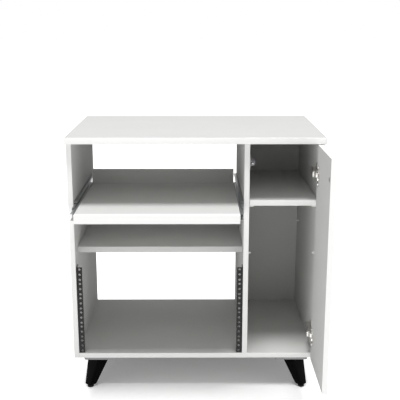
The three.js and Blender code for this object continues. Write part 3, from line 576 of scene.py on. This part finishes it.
def bored(piece, cutters):
    """Takes cutters out of a piece with exact booleans, keeps the result as the piece's own mesh with
    its smallest slivers closed up, and removes the cutters."""
    for cutter in cutters:
        hole = piece.modifiers.new("hole", "BOOLEAN")
        hole.operation = "DIFFERENCE"
        hole.solver = "EXACT"
        hole.object = cutter
    evaluated = piece.evaluated_get(bpy.context.evaluated_depsgraph_get())
    mesh = bpy.data.meshes.new_from_object(evaluated)
    piece.modifiers.clear()
    clean = bmesh.new()
    clean.from_mesh(mesh)
    bmesh.ops.remove_doubles(clean, verts=clean.verts, dist=sliver)
    bmesh.ops.dissolve_degenerate(clean, edges=clean.edges, dist=sliver)
    clean.to_mesh(mesh)
    clean.free()
    piece.data = mesh
    piece.data.set_sharp_from_angle(angle=math.radians(35))
    for cutter in cutters:
        bpy.data.objects.remove(cutter)
    return piece


bay_walls = {"left": (bay_left, 1), "right": (bay_right, -1)}
for side, (wall, towards) in bay_walls.items():
    low, high, middle = node_box("rack_rail_" + side)
    rings = folded_rings(high[0] - low[0], high[1] - low[1], rail_thickness, rail_bend_radius,
                         high[2] - low[2])
    rings[..., 0] *= towards
    foot = np.array([low[0] if towards > 0 else high[0], low[1], low[2]])
    rail = shell("punched_rail_" + side, rings + foot, [powder_coat])
    holes = [(wall + towards * rail_hole_inset, low[1], low[2] + unit * rack_unit + step)
             for unit in range(rack_units) for step in rack_hole_steps]
    drills = [drill(rail_hole_radius, 2 * rail_thickness, (0, 1, 0), at, powder_coat, 32) for at in holes]
    mounted(bored(rail, drills), "carcass", "black_steel", "rack_rail_" + side)
    for level in ("lower", "upper"):
        middle = node_box(f"rail_screw_{side}_{level}")[2]
        screw(f"rail_screw_head_{side}_{level}", "carcass", "black_steel", (towards, 0, 0),
              (wall + towards * rail_screw_stand, middle[1], middle[2]), powder_coat,
              nodes=[f"rail_screw_{side}_{level}"])

# Keyboard tray.
# A melamine board with a deeper strip in front, whose faces all take the whiter edging colour as a painted
# highlight for a strip that stands out into the light, and a raised lip behind that stops the keyboard. It
# runs on two ball bearing slides of zinc plated steel, three members a side.
for node in ("tray_board", "tray_rear_lip"):
    board(node, "tray", [melamine, edging])
# The front strip takes the whiter edging on every face: a painted highlight.
board("tray_front", "tray", [edging, edging])

# Slides.
# Each member is a channel rolled from 1.2 mm steel strip with round bends, and zinc plated. The outer
# one is screwed to the cabinet and the inner one to the tray. Pressed cages hold the balls between them.
slide_steel = 1.2 * MM
slide_bend = 1.7 * MM
slide_inner_bend = 0.5 * MM
slide_strip_edge = 0.3 * MM
slide_end_edge = 0.15 * MM
slide_outer_reach = 11 * MM
slide_screw_inset = 40 * MM
tray_screw_inset = 60 * MM
tray_screw_drop = 1.5 * MM
slide_screw_size = (3 * MM, 0.6 * MM)


def rounded_corners(points, radii, steps=4):
    """A closed outline with its corners rounded. Each arc touches both sides of its corner: its centre
    lies on the bisector, radius / sin(half the corner's angle) away, and the arc turns between the
    spokes to both touching points by spherical interpolation."""
    points = np.array(points, float)
    rounded = []
    for index, (corner, radius) in enumerate(zip(points, radii)):
        before, after = points[index - 1] - corner, points[(index + 1) % len(points)] - corner
        before, after = before / np.linalg.norm(before), after / np.linalg.norm(after)
        half = math.acos(float(np.clip(before @ after, -1, 1))) / 2
        centre = corner + (before + after) / np.linalg.norm(before + after) * radius / math.sin(half)
        first = corner + before * radius / math.tan(half) - centre
        last = corner + after * radius / math.tan(half) - centre
        sweep = math.pi - 2 * half
        share = np.linspace(0, 1, steps + 1)[:, None]
        rounded.append(centre + (np.sin((1 - share) * sweep) * first + np.sin(share * sweep) * last)
                       / math.sin(sweep))
    return np.concatenate(rounded)


def pressed_rings(outline, thickness, edge, steps=3):
    """A flat piece of any outline with rounded edges, stacked along Z. The outline draws in along its
    own normals, and its corners are rounder than that is deep. As on a slab, one more outline keeps each
    face flat."""
    ahead = np.roll(outline, -1, 0) - outline
    ahead /= np.linalg.norm(ahead, axis=1)[:, None]
    along = ahead + np.roll(ahead, 1, 0)
    along /= np.linalg.norm(along, axis=1)[:, None]
    turn_way = np.sign((outline[:, 0] * np.roll(outline[:, 1], -1)
                        - outline[:, 1] * np.roll(outline[:, 0], -1)).sum())
    inward = np.column_stack([-along[:, 1], along[:, 0]]) * turn_way
    draw, rise = rounded_edge(edge, steps)
    draw, rise = np.concatenate([[1.3 * edge], draw]), np.concatenate([[0], rise])
    return np.array([np.column_stack([outline + inward * inset, np.full(len(outline), height)])
                     for inset, height in zip([*draw, *draw[::-1]], [*rise, *(thickness - rise[::-1])])])


def channel_section(web, tip, half, lip):
    """A rolled channel's outline as distances across and heights: out along the upper flange, round its
    lip, back along the web's inside, and the same below."""
    way = slide_steel if tip > web else -slide_steel
    inner = half - slide_steel
    upper = [(web, half), (tip, half)]
    radii = [slide_bend, slide_bend if lip else slide_strip_edge]
    if lip:
        upper += [(tip, inner - lip), (tip - way, inner - lip), (tip - way, inner)]
        radii += [slide_strip_edge, slide_strip_edge, slide_inner_bend]
    else:
        upper += [(tip, inner)]
        radii += [slide_strip_edge]
    upper += [(web + way, inner)]
    radii += [slide_inner_bend]
    lower = [(across, -height) for across, height in upper[::-1]]
    return rounded_corners(upper + lower, radii + radii[::-1])


def along_wall(rings, wall, towards, start, level):
    """Lays rings along a wall: their X is the distance from the wall, towards the way that it faces,
    their Y is the height over a level, and their Z runs into the cabinet from a start."""
    return np.stack([wall + towards * rings[..., 0], start + rings[..., 2], level + rings[..., 1]], -1)


for side, (wall, towards) in bay_walls.items():
    slide_level = node_box("slide_outer_" + side)[2][2]
    tray_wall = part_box("tray_board")[0 if side == "left" else 1].x
    to_tray = (tray_wall - wall) * towards - seat_gap
    for member, body in (("outer", "carcass"), ("middle", "slide_middle_" + side), ("inner", "tray")):
        low, high, middle = node_box(f"slide_{member}_{side}")
        near, far = sorted([(low[0] - wall) * towards, (high[0] - wall) * towards])
        web, tip, lip = {"outer": (seat_gap, slide_outer_reach, slide_steel), "middle": (near, far, 0),
                         "inner": (to_tray, near, 0)}[member]
        section = channel_section(web, tip, (high[2] - low[2]) / 2, lip)
        rings = pressed_rings(section, high[1] - low[1], slide_end_edge, 2)
        add_piece(f"rolled_slide_{member}_{side}", along_wall(rings, wall, towards, low[1], slide_level),
                  zinc_plate, body, "zinc_steel", f"slide_{member}_{side}")
        if member == "middle":
            continue
        fixed = member == "outer"
        inset = slide_screw_inset if fixed else tray_screw_inset
        face = wall + towards * (web + (slide_steel if fixed else -slide_steel))
        level = slide_level if fixed else slide_level - tray_screw_drop
        screws(f"slide_screw_{member}_{side}", body, "zinc_steel", (towards if fixed else -towards, 0, 0),
               [(face, low[1] + inset, level), (face, high[1] - inset, level)], zinc_plate,
               *slide_screw_size)
    for member in ("outer", "inner"):
        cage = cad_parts[f"ball_cage_{member}_{side}"]
        cage.data.materials.clear()
        cage.data.materials.append(nickel_plate)

# Shelf supports.
# The cupboard's shelf lies on four moulded nylon angles. A rib closes each one in front and behind, and
# its peg is pushed into a 5 mm hole in the wall. More pegs with a small collar stay in the holes below.
bracket_thickness = 3 * MM
bracket_width = 12 * MM
bracket_edge = 0.25 * MM
held_peg_length = 2.7 * MM
bracket_radii = np.array([0.4, 1.2, 0.5, 1.5, 0.5, 0.4]) * MM
rib_width = 1.6 * MM
rib_edge = 0.15 * MM
rib_root = 2 * MM
rib_end_inset = 0.4 * MM
rib_foot_inset = 0.2 * MM
rib_face_inset = 0.1 * MM
rib_radii = np.array([0.4, 0.4, 2.5, 0.4]) * MM
peg_radius = 2.45 * MM
peg_nose = 0.7 * MM
held_peg_nose = 0.5 * MM
collar_radius = 3.5 * MM
collar_height = 1.2 * MM
collar_nose = 0.3 * MM
collar_gap = 0.05 * MM
nylon = moulded_material("moulded nylon", 0xFAFAF7, 0xF4F4F0, 0.4, 0.8 * MM, 0.0001)

cupboard_left, cupboard_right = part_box("divider_panel")[1].x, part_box("right_side_panel")[0].x
cupboard_walls = {"left": (cupboard_left, 1), "right": (cupboard_right, -1)}


def peg_rings(start, end, radius, nose, direction, place, around=40):
    """A round peg along a direction from a place, with both ends rounded off by the nose's radius."""
    draw, rise = rounded_edge(nose, 3)
    profile = [*zip(radius - draw, start + rise), *zip(radius - draw[::-1], end - rise[::-1])]
    return turned_to(turned_rings(profile, around), direction, place)


for side, (wall, towards) in cupboard_walls.items():
    for row in ("front", "rear"):
        bracket, pin = f"shelf_bracket_{row}_{side}", f"spare_pin_{row}_{side}"
        low, high, middle = node_box(bracket)
        reach = max((low[0] - wall) * towards, (high[0] - wall) * towards)
        drop = low[2] - high[2]
        angle = rounded_corners([(seat_gap, 0), (reach, 0), (reach, -bracket_thickness),
                                 (bracket_thickness, -bracket_thickness), (bracket_thickness, drop),
                                 (seat_gap, drop)], bracket_radii)
        rib_end, rib_foot = reach - rib_end_inset, drop + rib_foot_inset
        rib = rounded_corners([(rib_root, -rib_root), (rib_end, -rib_root), (rib_end, rib_foot),
                               (rib_root, rib_foot)], rib_radii)
        front, rear = low[1] + rib_face_inset, high[1] - rib_face_inset - rib_width
        for part, outline, start, width, edge, nodes in (
                ("angle", angle, low[1], bracket_width, bracket_edge, [bracket]),
                ("front_rib", rib, front, rib_width, rib_edge, []),
                ("rear_rib", rib, rear, rib_width, rib_edge, [])):
            rings = along_wall(pressed_rings(outline, width, edge), wall, towards, start, high[2])
            add_piece(f"moulded_{part}_{row}_{side}", rings, nylon, "carcass", "white_plastic", *nodes)
        pin_low, pin_high, pin_middle = node_box(pin)
        inner, outer = sorted([(pin_low[0] - wall) * towards, (pin_high[0] - wall) * towards])
        spare, held = (wall, middle[1], pin_middle[2]), (wall, middle[1], middle[2])
        for part, start, end, radius, nose, at, nodes in (
                ("peg", inner, outer, peg_radius, peg_nose, spare, [pin]),
                ("collar", collar_gap, collar_height, collar_radius, collar_nose, spare, []),
                ("bracket_peg", inner, held_peg_length, peg_radius, held_peg_nose, held, [])):
            rings = peg_rings(start, end, radius, nose, (towards, 0, 0), at, 24)
            add_piece(f"moulded_{part}_{row}_{side}", rings, nylon, "carcass", "white_plastic", *nodes)

# Door.
# A 15 mm melamine board, drilled with a 35 mm bore for each hinge's cup.
bore_radius = 17.8 * MM
bore_depth = 11.8 * MM
door = board("door_panel", "door", [melamine, edging])
door_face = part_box("door_panel")[0].x
cup_middles = [node_box("hinge_cup_" + level)[2] for level in ("lower", "upper")]
bored(door, [drill(bore_radius, bore_depth, (1, 0, 0), (door_face, *middle[1:]), edging, 64)
             for middle in cup_middles])

# Hinges.
# Each concealed hinge has a 35 mm cup deep drawn from nickel plated steel with a flange for two screws,
# and an arm pressed from 1.5 mm sheet that clips over a mounting plate on the panel. A rivet at the
# arm's front carries the link that hooks into the cup.
cup_radius = 17.5 * MM
cup_rim = 18.5 * MM
cup_depth = 11.5 * MM
cup_wall = 0.9 * MM
cup_bend = 1.5 * MM
cup_mouth_bend = 0.7 * MM
cup_floor_bend = 2.2 * MM
cup_screw_reach = 24 * MM
cup_screw_height = 1.6 * MM
flange_thickness = 1.2 * MM
flange_half_width = 9 * MM
flange_end_distance = 21 * MM
flange_softness = 1.2 * MM
flange_edge_inset = 0.4 * MM
flange_edge_height = 0.3 * MM
arm_sheet = 1.5 * MM
arm_length = 76.5 * MM
arm_half_width = 8.1 * MM
arm_web = 20.5 * MM
arm_web_drop = 6 * MM
arm_edge = 8 * MM
arm_edge_drop = 5.5 * MM
arm_step_start = 16.5 * MM
arm_step_length = 12 * MM
arm_radii = np.array([0.3, 2.2, 2.2, 0.3, 0.3, 0.8, 0.8, 0.3]) * MM
arm_stations = ((0, 15, 3), (16, 29, 14), (33, 76.5, 4))
arm_screws = ((35.5 * MM, 2.8 * MM), (63 * MM, 3.6 * MM))
arm_screw_height = 1.2 * MM
nose_size = (4.8 * MM, 15.2 * MM)
nose_rounding = (0.6 * MM, 0.5 * MM)
nose_from_panel = 18.1 * MM
nose_setback = 0.5 * MM
nose_lean = math.radians(14)
rivet_radius = 1.2 * MM
rivet_head = 2.1 * MM
rivet_crown = 0.3 * MM
rivet_from_panel = 12.5 * MM
rivet_setback = 3.5 * MM
wing_thickness = 2 * MM
wing_radius = 9 * MM
wing_edge = 0.6 * MM
wing_setback = 17 * MM
wing_screw_reach = 16 * MM
wing_screw_height = 1.4 * MM
plate_rail_size = (42 * MM, 10.4 * MM, 10.7 * MM)
plate_rail_rounding = (1.5 * MM, 0.8 * MM)
plate_rail_setback = 21 * MM


def cup_rings(around=96):
    """The cup from the middle of its outer floor to the middle of its inner floor. In polar form the
    flange's edge is a smooth maximum of the rim's circle and a stadium: half width / |cosine| along the
    stadium's sides, and on its ends d |sine| + root(w squared - (d cosine) squared)."""
    angle = np.arange(around) * (2 * math.pi / around)
    cosine = np.maximum(np.abs(np.cos(angle)), 1e-6)
    sine = np.abs(np.sin(angle))
    straight = flange_half_width / cosine
    inside = np.maximum(flange_half_width ** 2 - (flange_end_distance * cosine) ** 2, 0)
    stadium = np.where(straight * sine <= flange_end_distance, straight,
                       flange_end_distance * sine + np.sqrt(inside))
    apart = stadium - cup_rim
    flange = (stadium + cup_rim + np.sqrt(apart ** 2 + flange_softness ** 2)) / 2 - flange_softness / 2
    arc = list(zip(*rounded_edge(1)))
    inner, floor = cup_radius - cup_wall, cup_wall - cup_depth
    levels = [(share * (cup_radius - cup_bend), -cup_depth) for share in (0.02, 0.5)]
    levels += [(cup_radius - cup_bend * draw, -cup_depth + cup_bend * rise) for draw, rise in arc]
    levels += [(cup_radius, 0.0), (flange - flange_edge_inset, 0.0), (flange, flange_edge_height),
               (flange, flange_thickness - flange_edge_height),
               (flange - flange_edge_inset, flange_thickness)]
    levels += [(inner + cup_mouth_bend * draw, flange_thickness - cup_mouth_bend * rise)
               for draw, rise in arc]
    levels += [(inner - cup_floor_bend * rise, floor + cup_floor_bend * draw) for draw, rise in arc]
    levels += [(share * (inner - cup_floor_bend), floor) for share in (0.5, 0.02)]
    return np.array([np.stack([radius * np.cos(angle), radius * np.sin(angle), np.full(around, height)], -1)
                     for radius, height in levels])


def arm_rings(low, high):
    """The arm's channel along its length, through sections in millimetres behind its front. Each is a
    pressed U that opens towards the panel, and a smooth curve steps it down towards the panel."""
    depth = np.concatenate([np.linspace(*span) for span in arm_stations]) * MM
    depth *= (high[1] - low[1]) / arm_length
    share = np.clip((depth - arm_step_start) / arm_step_length, 0, 1)
    step = share * share * (3 - 2 * share)
    half, inside = arm_half_width, arm_half_width - arm_sheet
    rings = []
    for y, web, edge in zip(depth, arm_web - arm_web_drop * step, arm_edge - arm_edge_drop * step):
        under = web - arm_sheet
        section = rounded_corners([(edge, -half), (web, -half), (web, half), (edge, half), (edge, inside),
                                   (under, inside), (under, -inside), (edge, -inside)], arm_radii, 5)
        rings.append(np.stack([cupboard_right - section[:, 0], np.full(len(section), low[1] + y),
                               (low[2] + high[2]) / 2 + section[:, 1]], -1))
    return np.array(rings)


def on_panel(rings, seat, y, z):
    """Lays rings flat on a panel that faces left, so that they stand out from the seat."""
    return np.stack([seat - rings[..., 2], y + rings[..., 0], z + rings[..., 1]], -1)


def hinge_piece(name, level, rings, body, *nodes):
    """A nickel plated piece of the lower or upper hinge."""
    return add_piece(f"{name}_{level}", rings, nickel_plate, body, "nickel_steel", *nodes)


rivet_top = arm_half_width + rivet_crown
rivet_end = [[rivet_radius, arm_half_width], [rivet_head, arm_half_width], [rivet_head, rivet_top],
             [rivet_head * 0.4, rivet_top + rivet_crown]]
rivet_rings = turned_rings([[radius, -height] for radius, height in rivet_end[::-1]] + rivet_end, 24)
for level, cup_middle in zip(("lower", "upper"), cup_middles):
    cup_at = np.array([door_face - seat_gap, *cup_middle[1:]])
    hinge_piece("drawn_cup", level, on_panel(cup_rings(), *cup_at), "door", "hinge_cup_" + level)
    screws("cup_screw_" + level, "door", "nickel_steel", (-1, 0, 0),
           [cup_at + np.array([-flange_thickness, 0, reach])
            for reach in (-cup_screw_reach, cup_screw_reach)], nickel_plate, height=cup_screw_height)

    low, high, middle = node_box("hinge_arm_" + level)
    hinge_piece("pressed_arm", level, arm_rings(low, high), "carcass", "hinge_arm_" + level)
    flat = slab_rings(*nose_size, arm_sheet, *nose_rounding)
    leaning = np.stack([flat[..., 0] * math.cos(nose_lean) + flat[..., 2] * math.sin(nose_lean),
                        flat[..., 2] * math.cos(nose_lean) - flat[..., 0] * math.sin(nose_lean),
                        flat[..., 1]], -1)
    nose_at = np.array([cupboard_right - nose_from_panel, low[1] + nose_setback, middle[2]])
    hinge_piece("arm_nose", level, leaning + nose_at, "carcass")
    rivet_at = np.array([cupboard_right - rivet_from_panel, low[1] + rivet_setback, middle[2]])
    hinge_piece("arm_rivet", level, rivet_rings + rivet_at, "carcass")
    web_face = cupboard_right - arm_web + arm_web_drop
    for index, (depth, radius) in enumerate(arm_screws):
        screw(f"arm_screw_{level}_{index + 1}", "carcass", "nickel_steel", (-1, 0, 0),
              (web_face, low[1] + depth, middle[2]), zinc_plate, radius, arm_screw_height)

    low, high = node_box("hinge_plate_" + level)[:2]
    panel_seat = cupboard_right - seat_gap
    wing_y = low[1] + wing_setback
    outline = rounded_outline(2 * wing_radius, high[2] - low[2], wing_radius * 0.999, 12)
    hinge_piece("plate_wing", level,
                on_panel(pressed_rings(outline, wing_thickness, wing_edge), panel_seat, wing_y, middle[2]),
                "carcass", "hinge_plate_" + level)
    rail = slab_rings(*plate_rail_size, *plate_rail_rounding)
    hinge_piece("plate_rail", level, on_panel(rail, panel_seat, low[1] + plate_rail_setback, middle[2]),
                "carcass")
    screws("wing_screw_" + level, "carcass", "nickel_steel", (-1, 0, 0),
           [(panel_seat - wing_thickness, wing_y, middle[2] + reach)
            for reach in (-wing_screw_reach, wing_screw_reach)], zinc_plate, height=wing_screw_height)

# Hinge links.
# Each is a hook bent from 2 mm sheet. Its rolled eye turns on the arm's rivet, and its other end hooks
# round into the cup, so that it carries the door as it swings.
link_sheet = 2 * MM
link_width = 12.4 * MM
link_eye_radius = 2.8 * MM
link_eye_bore = 1.4 * MM
link_drop = 13 * MM
link_reach = 5 * MM
link_lean = -math.pi / 10
link_bend = 2.4 * MM
link_edge = 0.5 * MM
link_eye_edge = 0.3 * MM
link_eye_lap = 0.4 * MM


def tube(name, rings, materials):
    """A closed ring-shaped mesh, such as an eye: its last outline joins on to its first one."""
    count, around = rings.shape[:2]
    quads = ring_quads(count, count, around)
    return closed_piece(name, rings, quads, [0] * len(quads), materials,
                        rings_volume(np.concatenate([rings, rings[:1]])), 35)


def swept_strip(path, sheet, width, steps=3):
    """A strip of sheet that follows a path in the plane of X and Y, with its width along Z. At each point
    its section is a rectangle with round corners, as thick as the sheet across the path's normal."""
    ahead = np.gradient(path, axis=0)
    ahead /= np.linalg.norm(ahead, axis=1)[:, None]
    normal = np.column_stack([-ahead[:, 1], ahead[:, 0]])
    section = rounded_outline(sheet, width, link_edge, steps)
    flat = path[:, None, :] + normal[:, None, :] * section[None, :, :1]
    return np.concatenate([flat, np.repeat(section[None, :, 1:], len(path), 0)], -1)


def bent_path(points, radius, steps=8):
    """An open path of three points whose middle corner is an arc that touches both legs."""
    bend = rounded_corners(points, [0.01 * MM, radius, 0.01 * MM], steps)[steps + 1:2 * (steps + 1)]
    start = np.linspace(points[0], bend[0], 4)[:-1]
    finish = np.linspace(bend[-1], points[2], 4)[1:]
    return np.concatenate([start, bend, finish])


link_elbow = np.array([0, -link_drop])
link_tip = link_elbow + link_reach * np.array([math.cos(link_lean), math.sin(link_lean)])
link_path = bent_path([np.array([0, -link_eye_bore - link_eye_lap]), link_elbow, link_tip], link_bend)
link_rings = swept_strip(link_path, link_sheet, link_width)
eye_half = link_width / 2
eye_rings = turned_rings([[link_eye_bore, -eye_half], [link_eye_radius - link_eye_edge, -eye_half],
                          [link_eye_radius, link_eye_edge - eye_half],
                          [link_eye_radius, eye_half - link_eye_edge],
                          [link_eye_radius - link_eye_edge, eye_half], [link_eye_bore, eye_half]], 40)
for level in ("lower", "upper"):
    link_z = node_box("hinge_link_" + level)[2][2]
    eye_at = np.array([cupboard_right - rivet_from_panel,
                       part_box("hinge_arm_" + level)[0].y + rivet_setback, link_z])
    hinge_piece("bent_link", level, link_rings + eye_at, "hinge_link_" + level, "hinge_link_" + level)
    eye = tube("rolled_eye_" + level, eye_rings + eye_at, [nickel_plate])
    mounted(eye, "hinge_link_" + level, "nickel_steel")

# Latch.
# A moulded grey housing on the divider holds a sprung plunger with a magnet in its nose. A push on the
# shut door lets it spring out. The magnet pulls a steel disc that is screwed to the door.
latch_corners = np.array([(0.2, -15), (2.7, -15), (2.7, -7), (15, -7), (15, 7), (2.7, 7), (2.7, 15),
                          (0.2, 15)]) * MM
latch_radii = np.array([0.8, 1.2, 1.5, 6.9, 6.9, 1.5, 1.2, 0.8]) * MM
latch_edge = 0.5 * MM
latch_flange = 2.7 * MM
latch_bore_from_wall = 8 * MM
latch_bore_radius = 4.4 * MM
latch_bore_depth = 43.6 * MM
latch_screw_inset = 11 * MM
latch_screw_size = (3 * MM, 1.4 * MM)
plunger_radius = 4 * MM
plunger_nose = 0.6 * MM
plunger_start = 0.5 * MM
magnet_radius = 3 * MM
magnet_length = 2 * MM
magnet_nose = 0.3 * MM
strike_radius = 6 * MM
strike_thickness = 1.2 * MM
strike_nose = 0.4 * MM
strike_screw_size = (2.6 * MM, 0.4 * MM)
grey_plastic = moulded_material("moulded grey ABS", 0x9A9C9E, 0x8F9193, 0.45, 1.0 * MM, 0.0002)

low, high, middle = node_box("latch_body")
latch_axis = np.array([cupboard_left + latch_bore_from_wall, low[1], middle[2]])
rings = pressed_rings(rounded_corners(latch_corners, latch_radii, 10), high[1] - low[1], latch_edge)
housing = shell("latch_housing", along_wall(rings, cupboard_left, 1, low[1], middle[2]), [grey_plastic])
bore = drill(latch_bore_radius, latch_bore_depth, (0, 1, 0), latch_axis, grey_plastic, 48)
mounted(bored(housing, [bore]), "carcass", "grey_plastic", "latch_body")
screws("latch_screw", "carcass", "grey_plastic", (1, 0, 0),
       [(cupboard_left + latch_flange, depth, middle[2] - latch_screw_inset)
        for depth in (low[1] + latch_screw_inset, high[1] - latch_screw_inset)], zinc_plate,
       *latch_screw_size)

low, high = node_box("latch_plunger")[:2]
nose_at = np.array([latch_axis[0], low[1], latch_axis[2]])
rings = peg_rings(plunger_start, high[1] - low[1], plunger_radius, plunger_nose, (0, 1, 0), nose_at)
add_piece("moulded_plunger", rings, black_plastic, "latch_plunger", "black_plastic", "latch_plunger")
rings = peg_rings(0, magnet_length, magnet_radius, magnet_nose, (0, 1, 0), nose_at)
add_piece("plunger_magnet", rings, zinc_plate, "latch_plunger", "black_plastic")

middle = node_box("latch_strike")[2]
strike_at = np.array([door_face - seat_gap, *middle[1:]])
rings = peg_rings(0, strike_thickness, strike_radius, strike_nose, (-1, 0, 0), strike_at, 48)
add_piece("steel_strike", rings, zinc_plate, "door", "nickel_steel", "latch_strike")
screw("strike_screw", "door", "nickel_steel", (-1, 0, 0), strike_at - np.array([strike_thickness, 0, 0]),
      zinc_plate, *strike_screw_size)

# The box round all the pieces that render, after the looks.
low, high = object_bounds()
